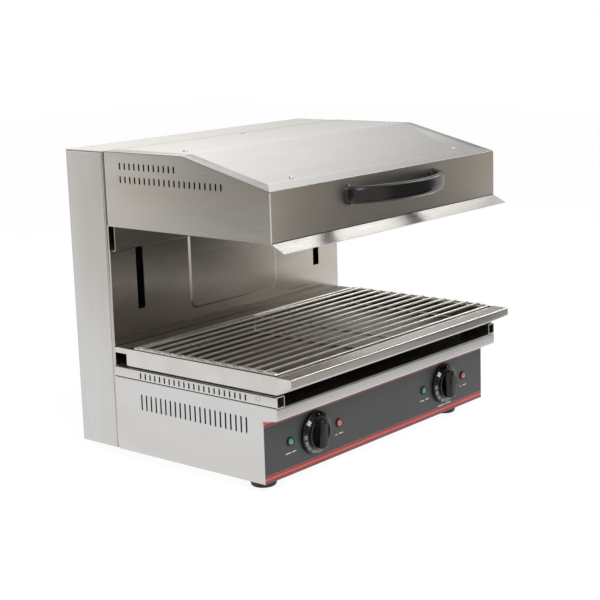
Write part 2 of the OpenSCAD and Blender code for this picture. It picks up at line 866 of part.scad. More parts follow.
module pulley_brackets() {
    cheek_x = pulley_w / 2 + cheek_gap;
    root = cheek_root[0];
    tip = cheek_tip[0];
    color(dark_steel) in_place() for (s = [-1, 1]) for (t = [-1, 1])
        translate([s * rope_x + (t > 0 ? cheek_x : -cheek_x - cheek_t), pulley_y, 0]) difference() {
            along_x(0, cheek_t) polygon(rounded([[-root, upper_bar], [-root, upper_bar - cheek_root[1]],
                [-tip, pulley_z - cheek_tip[1], cheek_tip[2]], [tip, pulley_z - cheek_tip[1], cheek_tip[2]],
                [root, upper_bar - cheek_root[1]], [root, upper_bar]]));
            translate([0, 0, pulley_z]) rod_x(axle_d + 2 * run_play, -1, cheek_t + 1);
        }
}

module pulley_axles() {
    half = pulley_w / 2 + cheek_gap + cheek_t;
    color("silver") in_place() for (s = [-1, 1]) scale_x(s) translate([rope_x, pulley_y, pulley_z]) {
        rod_x(axle_d, -half - axle_head, half + eps);
        rod_x(axle_d + 2 * axle_head, half, half + axle_head);
    }
}

module pulley(s) {
    r = pulley_r;
    g = rope_d / 2 + rope_gap;
    half = pulley_w / 2;
    bore = axle_d / 2 + run_play;
    hub = bore + hub_t;
    web = r - g - 3;
    rim = r + g + pulley_rim;
    groove = [for (a = [-90:15:90]) [r - g * cos(a), g * sin(a)]];
    side = [[rim, g + 0.8], [rim, half], [web + 1, half], [web, half - pulley_web_in],
        [hub + 1, half - pulley_web_in], [hub, half], [bore, half]];
    color("#b5b0a6") in_place() translate([s * rope_x, pulley_y, pulley_z]) rotate([0, 90, 0])
        rotate_extrude($fn = 64) polygon(concat([for (i = [len(side) - 1:-1:0]) [side[i][0], -side[i][1]]],
            groove, side));
}

module pulley_left() { pulley(-1); }
module pulley_right() { pulley(1); }

module rope_wraps() {
    color("#9a9a9a") in_place() for (s = [-1, 1]) translate([s * rope_x, pulley_y, pulley_z])
        rotate([90, 0, 90]) rotate_extrude(angle = 180) translate([pulley_r, 0]) circle(d = rope_d, $fn = 24);
}

module rope_run(y, low) {
    for (s = [-1, 1]) translate([s * rope_x, y, low]) cylinder(d = rope_d, h = pulley_z - low, $fn = 24);
}

module hood_rope_runs() { color("#9a9a9a") in_place() rope_run(rod_y, lug_top + rope_gap); }
module weight_rope_runs() {
    color("#9a9a9a") in_place() rope_run(rope_rear_y, weight_top + ferrule_h + rope_gap);
}

module counterweight() {
    color("#3c3c3e") in_place() {
        along_x(-weight_half, weight_half) polygon(rounded([[weight_y, weight_z, weight_r],
            [weight_y + weight_t, weight_z, weight_r], [weight_y + weight_t, weight_top, weight_r],
            [weight_y, weight_top, weight_r]]));
        for (s = [-1, 1]) translate([s * rope_x, rope_rear_y, weight_top - 1])
            cylinder(d = ferrule_d, h = ferrule_h + 1);
    }
}

// Channels that the ends of the counterweight slide in
module weight_guides() {
    x = weight_half + weight_play;
    front = weight_y - weight_play;
    back = weight_y + weight_t + weight_play;
    leg = x - rope_x - rope_d / 2 - 3;
    color(dark_steel) in_place() for (s = [-1, 1]) scale_x(s)
        along_z(sheet_t, weight_top + travel + guide_over)
            polygon(rounded([[x - leg, front - sheet_t], [x + sheet_t, front - sheet_t, 2],
                [x + sheet_t, rear_in], [x, rear_in], [x, back + sheet_t], [x - leg, back + sheet_t],
                [x - leg, back], [x, back], [x, front], [x - leg, front]]));
}

// Arm that reaches through the slot to a guide housing on the rod
module lift_arm() {
    y0 = -rear_plate_y + hood_t;
    h = arm_top - arm_bottom;
    difference() {
        union() {
            translate([slot_x, y0, (arm_bottom + arm_top) / 2]) along_y(0, arm_flange_t)
                rounded_box([arm_flange_w / 2, h / 2], 5);
            translate([slot_x, 0, 0]) along_x(-arm_t / 2, arm_t / 2) polygon([
                [y0 + arm_flange_t - eps, arm_bottom + arm_root_in], [rod_y, arm_bottom + arm_end_in],
                [rod_y, arm_top - arm_end_in], [y0 + arm_flange_t - eps, arm_top - arm_root_in]]);
            translate([slot_x, rod_y, arm_bottom]) cylinder(d = housing_d, h = h);
            translate([0, rod_y, lug_z]) linear_extrude(lug_h)
                polygon(rounded([[rope_x - lug_over, -lug_half, 4], [slot_x, -lug_half],
                    [slot_x, lug_half], [rope_x - lug_over, lug_half, 4]]));
            translate([rope_x, rod_y, lug_z + lug_h - 1]) cylinder(d = ferrule_d, h = ferrule_h + 1);
        }
        translate([slot_x, rod_y, arm_bottom - 1]) cylinder(d = rod_d + 2 * bush_t + 2 * bush_fit, h = h + 2);
        for (x = [-1, 1]) for (z = bolt_z) translate([slot_x + x * bolt_in, 0, z])
            rod_y(bolt_d + 2 * hole_play, y0 - 1, y0 + arm_flange_t + 1);
    }
}

module lift_arm_left() { color(dark_steel) in_place() scale_x(-1) lift_arm(); }
module lift_arm_right() { color(dark_steel) in_place() lift_arm(); }

module arm_bolts() {
    color("silver") in_place() for (s = [-1, 1]) for (x = [-1, 1]) for (z = bolt_z)
        translate([s * slot_x + x * bolt_in, -rear_plate_y, z])
            rotate([90, 0, 0]) pan_screw(bolt_d, hood_t + arm_flange_t, bolt_head, bolt_head_h);
}

module guide_bushings() {
    color("#b08d4f") in_place() for (s = [-1, 1]) for (z = [arm_bottom, arm_top - bush_l])
        translate([s * slot_x, rod_y, z]) difference() {
            cylinder(d = rod_d + 2 * bush_t, h = bush_l);
            translate([0, 0, -1]) cylinder(d = rod_d + 2 * run_play, h = bush_l + 2);
        }
}

// ---------- controls ----------

module thermostat(s) {
    front = panel_back + sheet_t;
    body = front + plate_t;
    color("#d8d2c4") in_place() translate([s * knob_x, 0, control_z]) difference() {
        union() {
            along_y(front, body) rounded_box(plate_half, 4);
            along_y(body - eps, body + switch_depth) rounded_box(switch_half, 5);
            rod_y(sleeve_d, panel_y - sleeve_out, body + eps);
            for (x = tag_x) translate([x, body + switch_depth - eps, -tag_size[2] / 2]) cube(tag_size);
        }
        rod_y(shaft_d + 2 * run_play, -base_d, body + shaft_in);
    }
}

module thermostat_left() { thermostat(-1); }
module thermostat_right() { thermostat(1); }

// Turned towards the user: local x stays X, local y points up, local z to the front
module facing_front(s) { translate([s * knob_x, knob_back, control_z]) rotate([90, 0, 0]) children(); }

// Grip bar of a knob, from the scale face to its top
module knob_grip(face, top) {
    half = knob_d / 2 - bar_side;
    w = knob_bar / 2;
    intersection() {
        along_x(-w, w) polygon(rounded([[-half, face - 1], [half, face - 1], [half, top, bar_r[0]],
            [-half, top, bar_r[0]]]));
        along_y(-half, half) polygon(rounded([[-w, 0], [w, 0], [w - bar_taper, top, bar_r[1]],
            [-w + bar_taper, top, bar_r[1]]]));
        cylinder(r = half, h = top + 1);
    }
}

module knob(s) {
    face = skirt_h + skirt_face;
    ring = face + boss_h;
    inner = knob_d / 2 - boss_rim;
    color("#161616") in_place() facing_front(s) difference() {
        union() {
            rotate_extrude($fn = 96) polygon(rounded([[0, 0], [skirt_d / 2, 0], [skirt_d / 2, skirt_h, 1.2],
                [knob_d / 2, face], [knob_d / 2, ring, 1.2], [inner, ring, 1], [inner, face + boss_floor],
                [0, face + boss_floor]]));
            knob_grip(face, face + knob_h);
        }
        translate([0, 0, -1]) cylinder(d = knob_recess_d, h = knob_recess + 1);
        translate([0, 0, -1]) cylinder(d = shaft_d + 2 * run_play, h = face + knob_bore);
    }
}

module knob_left() { knob(-1); }
module knob_right() { knob(1); }

module shaft(s) {
    back = panel_back + sheet_t + plate_t + shaft_in - wall_gap;
    front = knob_back - skirt_h - skirt_face - knob_bore + shaft_end;
    color("silver") in_place() translate([s * knob_x, 0, control_z]) difference() {
        rod_y(shaft_d, front, back);
        translate([-shaft_d, front - 1, shaft_d * 0.3]) cube([2 * shaft_d, shaft_flat, shaft_d]);
    }
}

module shaft_left() { shaft(-1); }
module shaft_right() { shaft(1); }

module lamp_spots(which) {
    for (s = [-1, 1]) for (t = which) translate([s * knob_x + t * lamp_x, panel_y, control_z + lamp_lift])
        rotate([90, 0, 0]) children();
}

module lamp_bezels() {
    back = sheet_t + overlay_t;
    color("#202020") in_place() lamp_spots([-1, 1]) {
        rotate_extrude() polygon(rounded([[lens_d / 2 + hole_play, 0], [lamp_d / 2, 0],
            [lamp_d / 2, bezel_h, 1], [lens_d / 2 + hole_play, bezel_h, 0.4]]));
        translate([0, 0, -back - lamp_body_l]) cylinder(d = lamp_body_d, h = back + lamp_body_l + eps);
        translate([0, 0, -back - lamp_nut_h]) cylinder(d = lamp_body_d * 1.5, h = lamp_nut_h, $fn = 6);
        cylinder(d = lens_d + 2 * hole_play + eps, h = lens_seat);
    }
}

module lens() {
    r = lens_d / 2;
    rotate_extrude() polygon(concat([[0, lens_seat], [r, lens_seat]],
        [for (a = [0:15:90]) [r * cos(a), lens_rim + lens_dome * sin(a)]]));
}

module green_lenses() { color("#2f9a6c") in_place() lamp_spots([-1]) lens(); }
module red_lenses() { color("#d8605f") in_place() lamp_spots([1]) lens(); }

module terminal_block() {
    depth = 24;
    wire_z = 6;
    color("#e8e4da") in_place() translate([gland_x - poles * pole_pitch / 2, pole_y, sheet_t])
        difference() {
            along_x(0, poles * pole_pitch) polygon(rounded([[0, 0], [depth, 0], [depth, 10, 1],
                [depth - 5, 20, 1], [5, 20, 1], [0, 10, 1]]));
            for (i = [0:poles - 1]) translate([(i + 0.5) * pole_pitch, 0, wire_z]) {
                translate([0, depth / 2, 0]) cylinder(d = 5, h = 20);
                rod_y(4, -1, depth + 1);
            }
        }
}

module cable_gland() {
    color("#262626") in_place() translate([gland_x, 0, gland_z]) difference() {
        union() {
            rod_y(gland_thread, rear_in - gland_in, tower_d + eps);
            translate([0, tower_d, 0]) rotate([-90, 0, 0])
                cylinder(d = gland_hex[0], h = gland_hex[1], $fn = 6);
            translate([0, rear_in, 0]) rotate([90, 0, 0])
                cylinder(d = gland_nut[0], h = gland_nut[1], $fn = 6);
            translate([0, tower_d + gland_hex[1] - eps, 0]) rotate([-90, 0, 0]) rotate_extrude()
                polygon(rounded([[0, 0], [gland_cap[0], 0], [gland_cap[0], gland_cap[2], 2],
                    [gland_cap[1], gland_out - gland_hex[1], 2], [0, gland_out - gland_hex[1]]]));
        }
        rod_y(cord_bore, 0, tower_d + gland_out + 1);
    }
}

// ---------- hood ----------

// Strip that lies under the hood cover, from y0 back to y1, t thick
module under_cover(y0, y1, t) {
    bend = -hood_flat;
    mid = (y0 < bend && y1 > bend) ? [bend] : [];
    ys = concat([y1], mid, [y0]);
    polygon(concat([for (y = ys) [y, roof(y) - cover_t]],
        [for (i = [len(ys) - 1:-1:0]) [ys[i], roof(ys[i]) - cover_t - t]]));
}

module above_cover() {
    y = -hood_d - 40;
    polygon([[far, hood_top - cover_t], [-hood_flat, hood_top - cover_t], [y, roof(y) - cover_t],
        [y, far], [far, far]]);
}

// At the seat of each hood cover screw, square to the cover
module at_cover_screws() {
    for (p = cover_screws) translate([p[0], p[1], roof(p[1]) + border_rise])
        rotate([p[1] < -hood_flat ? slope_angle : 0, 0, 0]) children();
}

module hood_shell() {
    x = hood_x - hood_t;
    front = -hood_d + hood_t;
    back = -rear_plate_y;
    color(steel) in_place() difference() {
        union() {
            difference() {
                along_z(hood_bottom, hood_top) sheet([[-hood_x, -hood_gap], [-hood_x, -hood_d, 2],
                    [hood_x, -hood_d, 2], [hood_x, -hood_gap]], hood_t);
                along_x(-far, far) above_cover();
            }
            along_z(hood_bottom, hood_bottom + hood_t) difference() {
                translate([-x - eps, front - eps]) square([2 * (x + eps), back - hood_t - front]);
                translate([-x + hood_flange, front + hood_flange]) square([2 * (x - hood_flange), hood_d]);
            }
            for (s = [-1, 1]) scale_x(s) {
                along_x(x - hood_flange, x + eps) under_cover(front - eps, back - hood_t, hood_t);
                block([x - hood_flange - 3, back - hood_t, hood_bottom], [x + eps, back, hood_top - cover_t]);
            }
            along_x(-x, x) under_cover(front - eps, front + hood_flange, hood_t);
            for (y = rib_spots) along_x(-x + eps, x - eps) {
                under_cover(y - rib_w / 2, y + rib_w / 2, hood_t);
                under_cover(y - rib_w / 2, y - rib_w / 2 + hood_t, rib_fold);
            }
        }
        at_cover_screws() translate([0, 0, -hole_l]) cylinder(d = screw_d + 2 * hole_play, h = 2 * hole_l);
        for (s = [-1, 1]) scale_x(s) translate([0, hood_vent_shift, 0]) {
            vent_row(hood_vents_low, hood_vent_h, hood_vent_z[0]);
            vent_row(hood_vents_high, hood_vent_h, hood_vent_z[1]);
        }
        for (s = [-1, 1]) translate([s * handle_half, 0, handle_z])
            rod_y(handle_screw_d + 2 * hole_play, -hood_d - 1, front + 1);
    }
}

module hood_top_cover() {
    function ring(x, y_back, y_front, z) = [for (p = [[-x, y_back], [x, y_back], [x, -hood_flat],
        [x, y_front], [-x, y_front], [-x, -hood_flat]]) [p[0], p[1], roof(p[1]) + z]];
    top = concat(ring(hood_x, -hood_gap, -hood_d, 0),
        ring(hood_x - border_w, -hood_gap - border_rear_w, -hood_d + border_w, border_rise));
    skin = concat([for (i = [0:5]) [i, (i + 1) % 6, (i + 1) % 6 + 6, i + 6]],
        [[6, 7, 8, 11], [11, 8, 9, 10]]);
    n = len(top);
    color(steel) in_place() difference() {
        polyhedron(points = concat(top, [for (p = top) p - [0, 0, cover_t]]),
            faces = concat(skin, [for (f = skin) [for (i = [3:-1:0]) f[i] + n]],
                [for (i = [0:5]) [i, i + n, (i + 1) % 6 + n, (i + 1) % 6]]));
        at_cover_screws() translate([0, 0, -hole_l])
            cylinder(d = screw_d + 2 * hole_play, h = 2 * hole_l, $fn = 24);
    }
}

module hood_cover_screws() {
    color("silver") in_place() at_cover_screws() pan_screw(screw_d, cover_screw_l);
}

module hood_rear_plate() {
    x = hood_x - rear_plate_in;
    color(dark_steel) in_place() difference() {
        along_x(-x, x) sheet([[-rear_plate_y, hood_top - cover_t - wall_gap],
            [-rear_plate_y, rear_plate_bottom, 2], [-rear_plate_y + 6, rear_plate_bottom]], hood_t);
        for (s = [-1, 1]) for (x = [-1, 1]) for (z = bolt_z) translate([s * slot_x + x * bolt_in, 0, z])
            rod_y(bolt_d + 2 * hole_play, -rear_plate_y - 1, 0);
    }
}

module hood_reflector() {
    z = hood_bottom + hood_t;
    x = dish_x - dish_rim;
    front = dish_front + dish_rim;
    back = dish_rear - hood_t - dish_rim;
    color("#bdbab4") in_place() difference() {
        union() {
            along_x(-x, x) sheet([[dish_front, z], [front, z, 2], [front + dish_slope, dish_top - hood_t, 2],
                [back - dish_slope, dish_top - hood_t, 2], [back, z, 2], [back + dish_rim, z]], hood_t);
            for (s = [-1, 1]) scale_x(s) {
                along_x(x, x + hood_t) polygon([[front, z], [back, z], [back - dish_slope, dish_top],
                    [front + dish_slope, dish_top]]);
                block([x + eps, dish_front, z], [dish_x, back + dish_rim, z + hood_t]);
            }
        }
        for (p = terminal_spots) translate([p[0], p[1], dish_top - dish_h / 2])
            cylinder(d = bead_d + 2 * hole_play, h = dish_h);
    }
}

module front_deflector() {
    color("#e4e2dc") in_place() along_x(-hood_x, hood_x) sheet([[-hood_d + lip_flange, hood_bottom],
        [-hood_d, hood_bottom, 2], [-hood_d - lip_reach, lip_tip + hood_t]], hood_t);
}

// Serpentine tube heater; runs lie front to back, both ends turn up at the rear
module heater() {
    r = heater_pitch / 2;
    up = heater_bend;
    y0 = heater_y - heater_l / 2;
    y1 = heater_y + heater_l / 2;
    x0 = heater_x - heater_half;
    end_y = terminal_y - up;
    for (i = [0:heater_runs - 1]) {
        outer = i == 0 || i == heater_runs - 1;
        translate([x0 + i * heater_pitch, 0, heater_z]) {
            rod_y(heater_d, y0, outer ? end_y : y1);
            if (outer) {
                translate([0, end_y, up]) rotate([90, 0, 90]) rotate_extrude(angle = -90)
                    translate([up, 0]) circle(d = heater_d);
                translate([0, terminal_y, up]) cylinder(d = heater_d, h = dish_top - heater_z);
            }
        }
    }
    for (i = [0:heater_runs - 2]) let (at_front = i % 2 == 0)
        translate([x0 + (i + 0.5) * heater_pitch, at_front ? y0 : y1, heater_z])
            rotate([0, 0, at_front ? 180 : 0]) rotate_extrude(angle = 180)
                translate([r, 0]) circle(d = heater_d);
}

module heater_left() { color("#4b4744") in_place() scale_x(-1) heater(); }
module heater_right() { color("#4b4744") in_place() heater(); }

module heater_clips() {
    x0 = heater_x - heater_half;
    low = x0 - clip_margin;
    high = x0 + 2 * heater_half + clip_margin;
    color("#a9a59c") in_place() for (s = [-1, 1]) for (y = [heater_y - clip_y, heater_y + clip_y])
        scale_x(s) along_y(y - clip_t / 2, y + clip_t / 2) difference() {
            polygon(rounded([[low, heater_z - heater_d, 3], [high, heater_z - heater_d, 3],
                [high, dish_top - hood_t], [low, dish_top - hood_t]]));
            for (i = [0:heater_runs - 1]) translate([x0 + i * heater_pitch, heater_z])
                circle(d = heater_d + 2 * clip_play);
        }
}

module heater_insulators() {
    color("#efe9dc") in_place() for (p = terminal_spots) translate([p[0], p[1], 0]) difference() {
        union() {
            translate([0, 0, dish_top - hood_t - bead_flange_t]) cylinder(d = bead_d, h = hood_t + bead_l);
            translate([0, 0, dish_top]) cylinder(d = bead_d + bead_flange, h = bead_flange_t);
        }
        translate([0, 0, dish_top - dish_h]) cylinder(d = heater_d + 2 * hole_play, h = 2 * dish_h);
    }
}

module hood_insulation() {
    x = dish_x - dish_rim - wool_gap;
    front = dish_front + dish_rim + dish_slope;
    back = terminal_y - bead_d - wool_gap;
    color("#c9bfa0") in_place() along_x(-x, x) polygon(rounded([[front, dish_top], [back, dish_top],
        [back, dish_top + wool_h, 6], [front, dish_top + wool_h, 6]]));
}

// ---------- handle ----------

module handle() {
    steps = 28;
    sides = 16;
    function section(a) = [grip_t / 2 * sign(cos(a)) * pow(abs(cos(a)), grip_power),
        grip_h / 2 * sign(sin(a)) * pow(abs(sin(a)), grip_power)];
    function heading(t) = t <= 0 ? [0, -1] : t >= 180 ? [0, 1] : unit(bow(t + 0.5) - bow(t - 0.5));
    points = [for (i = [0:steps]) let (t = 180 * i / steps, p = bow(t), d = heading(t))
        for (j = [0:sides - 1]) let (q = section(360 * j / sides))
            [p[0] - d[1] * q[0], p[1] + d[0] * q[0], handle_z + q[1]]];
    walls = [for (i = [0:steps - 1]) for (j = [0:sides - 1]) let (k = (j + 1) % sides)
        [i * sides + j, (i + 1) * sides + j, (i + 1) * sides + k, i * sides + k]];
    ends = [[for (j = [0:sides - 1]) j], [for (j = [sides - 1:-1:0]) steps * sides + j]];
    color("#101010") in_place() difference() {
        union() {
            polyhedron(points = points, faces = concat(walls, ends), convexity = 4);
            for (s = [-1, 1]) translate([s * handle_half, -hood_d, handle_z]) along_y(-pad_t, 0)
                polygon([for (a = [0:15:345]) [pad_w / 2 * cos(a), pad_h / 2 * sin(a)]]);
        }
        for (s = [-1, 1]) translate([s * handle_half, 0, handle_z])
            rod_y(handle_screw_d + 2 * hole_play, -hood_d - handle_screw_in, -hood_d + 1, $fn = 24);
    }
}

module handle_screws() {
    color("silver") in_place() for (s = [-1, 1]) translate([s * handle_half, -hood_d + hood_t, handle_z])
        rotate([-90, 0, 0]) pan_screw(handle_screw_d, handle_screw_in, 2 * handle_screw_d, 3);
}

// ---------- pan and rack ----------

// Tray space from z0 up, set in from the pan's outer faces by d
module tray(d, z0, r) {
    x = pan_w / 2 - d;
    intersection() {
        along_x(-x - 1, x + 1) polygon(rounded([[-pan_front + d, z0, r], [-pan_rear - d, z0, r],
            [-pan_rear - d, pan_top + d], [-pan_front + d, pan_top + d]]));
        along_y(-pan_front - 1, -pan_rear + 1) polygon(rounded([[-x, z0, r], [x, z0, r], [x, pan_top + d],
            [-x, pan_top + d]]));
    }
}

module grill_pan() {
    x = pan_w / 2;
    color("#bdbab4") in_place() {
        difference() {
            tray(0, pan_z, 4);
            tray(pan_t, pan_floor, 4 - pan_t);
        }
        along_x(-pan_lip_w / 2, pan_lip_w / 2) sheet([[-pan_front + pan_t, pan_top],
            [-pan_front - pan_lip, pan_top, bend_r], [-pan_front - pan_lip, pan_top - pan_lip_h]], pan_t);
        for (s = [-1, 1]) scale_x(s) along_x(pan_lip_w / 2 - pan_t, pan_lip_w / 2) polygon([
            [-pan_front + pan_t, pan_top], [-pan_front - pan_lip + bend_r, pan_top],
            [-pan_front - pan_lip, pan_top - bend_r], [-pan_front - pan_lip, pan_top - pan_lip_h],
            [-pan_front, pan_top - pan_gusset_h], [-pan_front + pan_t, pan_top - pan_gusset_h]]);
        along_x(-x, x) sheet([[-pan_tail_gap, pan_top - pan_tail_h], [-pan_tail_gap, pan_top, bend_r],
            [-pan_rear - pan_t, pan_top]], pan_t);
        for (s = [-1, 1]) scale_x(s) along_x(x - pan_t, x) polygon([
            [-pan_rear - eps, pan_top - pan_tail_h], [-pan_tail_gap, pan_top - pan_tail_h],
            [-pan_tail_gap, pan_top - bend_r], [-pan_tail_gap - bend_r, pan_top], [-pan_rear - eps, pan_top]]);
    }
}

// Quarter bend of a wire in the X-Y plane, centre at [x, y], from angle a
module corner_bend(x, y, z, r, a, d) {
    translate([x, y, z]) rotate([0, 0, a]) rotate_extrude(angle = 90) translate([r, 0]) circle(d = d);
}

// Quarter bend of a leg wire, centre at [y, z], from angle a in the Y-Z plane
module leg_corner(y, z, a) {
    translate([0, y, z]) rotate([90, 0, 90]) rotate([0, 0, a]) rotate_extrude(angle = 90)
        translate([leg_bend, 0]) circle(d = leg_wire);
}

module rack_leg(x) {
    r = leg_bend;
    back = rack_rear - leg_in;
    front = rack_front + leg_in;
    top = rack_z - support_drop;
    translate([x, 0, 0]) {
        translate([0, 0, leg_z]) rod_y(leg_wire, front + r, back - r);
        for (y = [front, back]) translate([0, y, leg_z + r]) cylinder(d = leg_wire, h = top - leg_z - r);
        leg_corner(front + r, leg_z + r, 180);
        leg_corner(back - r, leg_z + r, 270);
        translate([0, 0, top]) rod_y(leg_wire, rack_front, rack_rear);
    }
}

module wire_rack() {
    r = rack_corner;
    color("#d6d2ca") in_place() {
        for (s = [-1, 1]) translate([s * rack_x, 0, rack_z]) rod_y(frame_wire, rack_front + r, rack_rear - r);
        for (y = [rack_front, rack_rear]) translate([0, y, rack_z])
            rod_x(frame_wire, -rack_x + r, rack_x - r);
        corner_bend(rack_x - r, rack_rear - r, rack_z, r, 0, frame_wire);
        corner_bend(-rack_x + r, rack_rear - r, rack_z, r, 90, frame_wire);
        corner_bend(-rack_x + r, rack_front + r, rack_z, r, 180, frame_wire);
        corner_bend(rack_x - r, rack_front + r, rack_z, r, 270, frame_wire);
        for (i = [0:cross_wires - 1]) translate([0, rack_rear - cross_rear_in - i * cross_pitch, cross_z])
            rod_x(cross_wire, -rack_x - cross_over, rack_x + cross_over);
        for (x = [-leg_x, 0, leg_x]) rack_leg(x);
    }
}

tower_side_left();
tower_side_right();
tower_front_panel();
tower_top_cover();
rear_cover();
rear_cover_screws();
base_side_left();
base_side_right();
base_floor();
base_deck();
control_panel();
panel_overlay();
rail_left();
rail_right();
rail_screws();
feet();
upper_crossbar();
lower_crossbar();
guide_rod_left();
guide_rod_right();
rod_nuts();
pulley_brackets();
pulley_axles();
weight_guides();
rope_wraps();
hood_rope_runs();
weight_rope_runs();
thermostat_left();
thermostat_right();
lamp_bezels();
green_lenses();
red_lenses();
terminal_block();
cable_gland();
hood_shell();
hood_top_cover();
hood_cover_screws();
hood_rear_plate();
hood_reflector();
front_deflector();
heater_left();
heater_right();
heater_clips();
heater_insulators();
hood_insulation();
handle();
handle_screws();
lift_arm_left();
lift_arm_right();
arm_bolts();
guide_bushings();
counterweight();
pulley_left();
pulley_right();
knob_left();
knob_right();
shaft_left();
shaft_right();
grill_pan();
wire_rack();
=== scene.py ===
# %% [markdown]
# # A lift-top cheese melter, dressed in Blender
# The solids of the machine come ready made, in metres, and this lesson gives
# them their looks: brushed stainless sheet, a printed panel skin, black knobs,
# tinted lamps and a plated wire rack.  The solids are loaded first, because
# every later step reads its places from them.

# %% Load the solids and note their box
import json
import math

import bpy
from mathutils import Matrix, Vector


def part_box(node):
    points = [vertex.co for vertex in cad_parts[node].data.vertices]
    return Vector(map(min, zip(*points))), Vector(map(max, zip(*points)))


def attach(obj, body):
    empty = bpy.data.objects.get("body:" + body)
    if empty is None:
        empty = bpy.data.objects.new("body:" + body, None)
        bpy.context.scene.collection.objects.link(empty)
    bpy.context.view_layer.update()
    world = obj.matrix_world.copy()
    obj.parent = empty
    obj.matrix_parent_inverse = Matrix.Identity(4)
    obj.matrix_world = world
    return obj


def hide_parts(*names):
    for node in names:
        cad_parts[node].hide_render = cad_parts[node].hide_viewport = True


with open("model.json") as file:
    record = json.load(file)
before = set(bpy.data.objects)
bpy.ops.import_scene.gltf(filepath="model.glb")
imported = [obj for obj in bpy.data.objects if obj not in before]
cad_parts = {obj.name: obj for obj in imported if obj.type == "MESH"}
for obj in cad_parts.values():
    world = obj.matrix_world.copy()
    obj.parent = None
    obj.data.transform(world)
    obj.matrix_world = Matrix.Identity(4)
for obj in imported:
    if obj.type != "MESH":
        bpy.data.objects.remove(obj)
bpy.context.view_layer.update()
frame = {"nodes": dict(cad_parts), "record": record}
mm = 0.001

# %% [markdown]
# ## Camera
# The machine is seen from its left front, a little from above, with a long
# lens.  A camera could be aimed by three angles, but its axes say more: they
# are written as rows, to the right, up and backwards, and a matrix made of
# them turns the camera without any angle.

# %% Camera
camera_data = bpy.data.cameras.new("camera")
camera_data.lens = 87.51
camera_data.sensor_width = 36
camera = bpy.data.objects.new("camera", camera_data)
bpy.context.scene.collection.objects.link(camera)
camera_right = Vector((0.64400142, -0.7643972, -0.03096919))
camera_up = Vector((0.17706907, 0.10955341, 0.9780821))
camera_back = Vector((-0.74425044, -0.63536995, 0.20590366))
camera_turn = Matrix((camera_right, camera_up, camera_back)).transposed()
camera_place = Matrix.Translation((-1.89933, -1.62060, 0.75855))
camera.matrix_world = camera_place @ camera_turn.to_4x4()
bpy.context.scene.camera = camera
bpy.context.scene.view_settings.view_transform = "Standard"
print("camera at", tuple(round(v, 3) for v in camera.location), "lens", camera_data.lens)

# %% [markdown]
# ## Writing nodes in few words
# Every material is a chain of nodes, and written out in full each node takes
# several lines.  A small class keeps a node tree and adds to it by short
# calls instead.  It knows nothing of metal or paint, so that the floor, the
# world and the studio cards can use it too.


# %% A node tree with short calls
class Nodes:
    """A node tree, and short calls that add nodes to it and join them."""

    def __init__(self, tree):
        self.tree = tree

    def add(self, kind, **settings):
        """Adds a node and sets what belongs to it, such as a Math node's operation."""
        node = self.tree.nodes.new(kind)
        for key, value in settings.items():
            setattr(node, key, value)
        return node

    def feed(self, source, target):
        """Gives a socket a plain number, a plain colour, or another node's output."""
        if isinstance(source, (int, float)):
            target.default_value = source
        elif isinstance(source, (tuple, list)):
            target.default_value = (*source, 1)
        else:
            self.tree.links.new(source, target)

    def calc(self, operation, *values):
        """A Math node on one or two values: ADD, SUBTRACT, MULTIPLY, ABSOLUTE and so on."""
        node = self.add("ShaderNodeMath", operation=operation)
        for target, value in zip(node.inputs, values):
            self.feed(value, target)
        return node.outputs[0]

    def spread(self, value, low, high, to_low, to_high):
        """Maps a value from low..high to to_low..to_high, and holds it there outside."""
        node = self.add("ShaderNodeMapRange")
        names = ("Value", "From Min", "From Max", "To Min", "To Max")
        for name, source in zip(names, (value, low, high, to_low, to_high)):
            self.feed(source, node.inputs[name])
        return node.outputs["Result"]

    def rise(self, value, low, high):
        """0 below low and 1 above high, with a soft step between them."""
        return self.spread(value, low, high, 0, 1)

    def fall(self, value, low, high):
        """1 below low and 0 above high, with a soft step between them."""
        return self.spread(value, low, high, 1, 0)

    def blend(self, share, first, second, way="MIX"):
        """Mixes two colours by a share, or multiplies them with way="MULTIPLY"."""
        colour_a, colour_b, colour_out = 6, 7, 2  # the Mix node has other sockets before these
        node = self.add("ShaderNodeMix", data_type="RGBA", blend_type=way)
        self.feed(share, node.inputs["Factor"])
        self.feed(first, node.inputs[colour_a])
        self.feed(second, node.inputs[colour_b])
        return node.outputs[colour_out]


print("node tree helper ready")

# %% [markdown]
# ## A finish and its patterns
# A finish is one material.  Image textures would need files and would stretch
# over the folds, so each pattern is worked out from the point in space: noise,
# squeezed by a mapping, feeds colour, roughness and bump.  All patterns read
# Object coordinates, so they stay on the metal when a part moves.


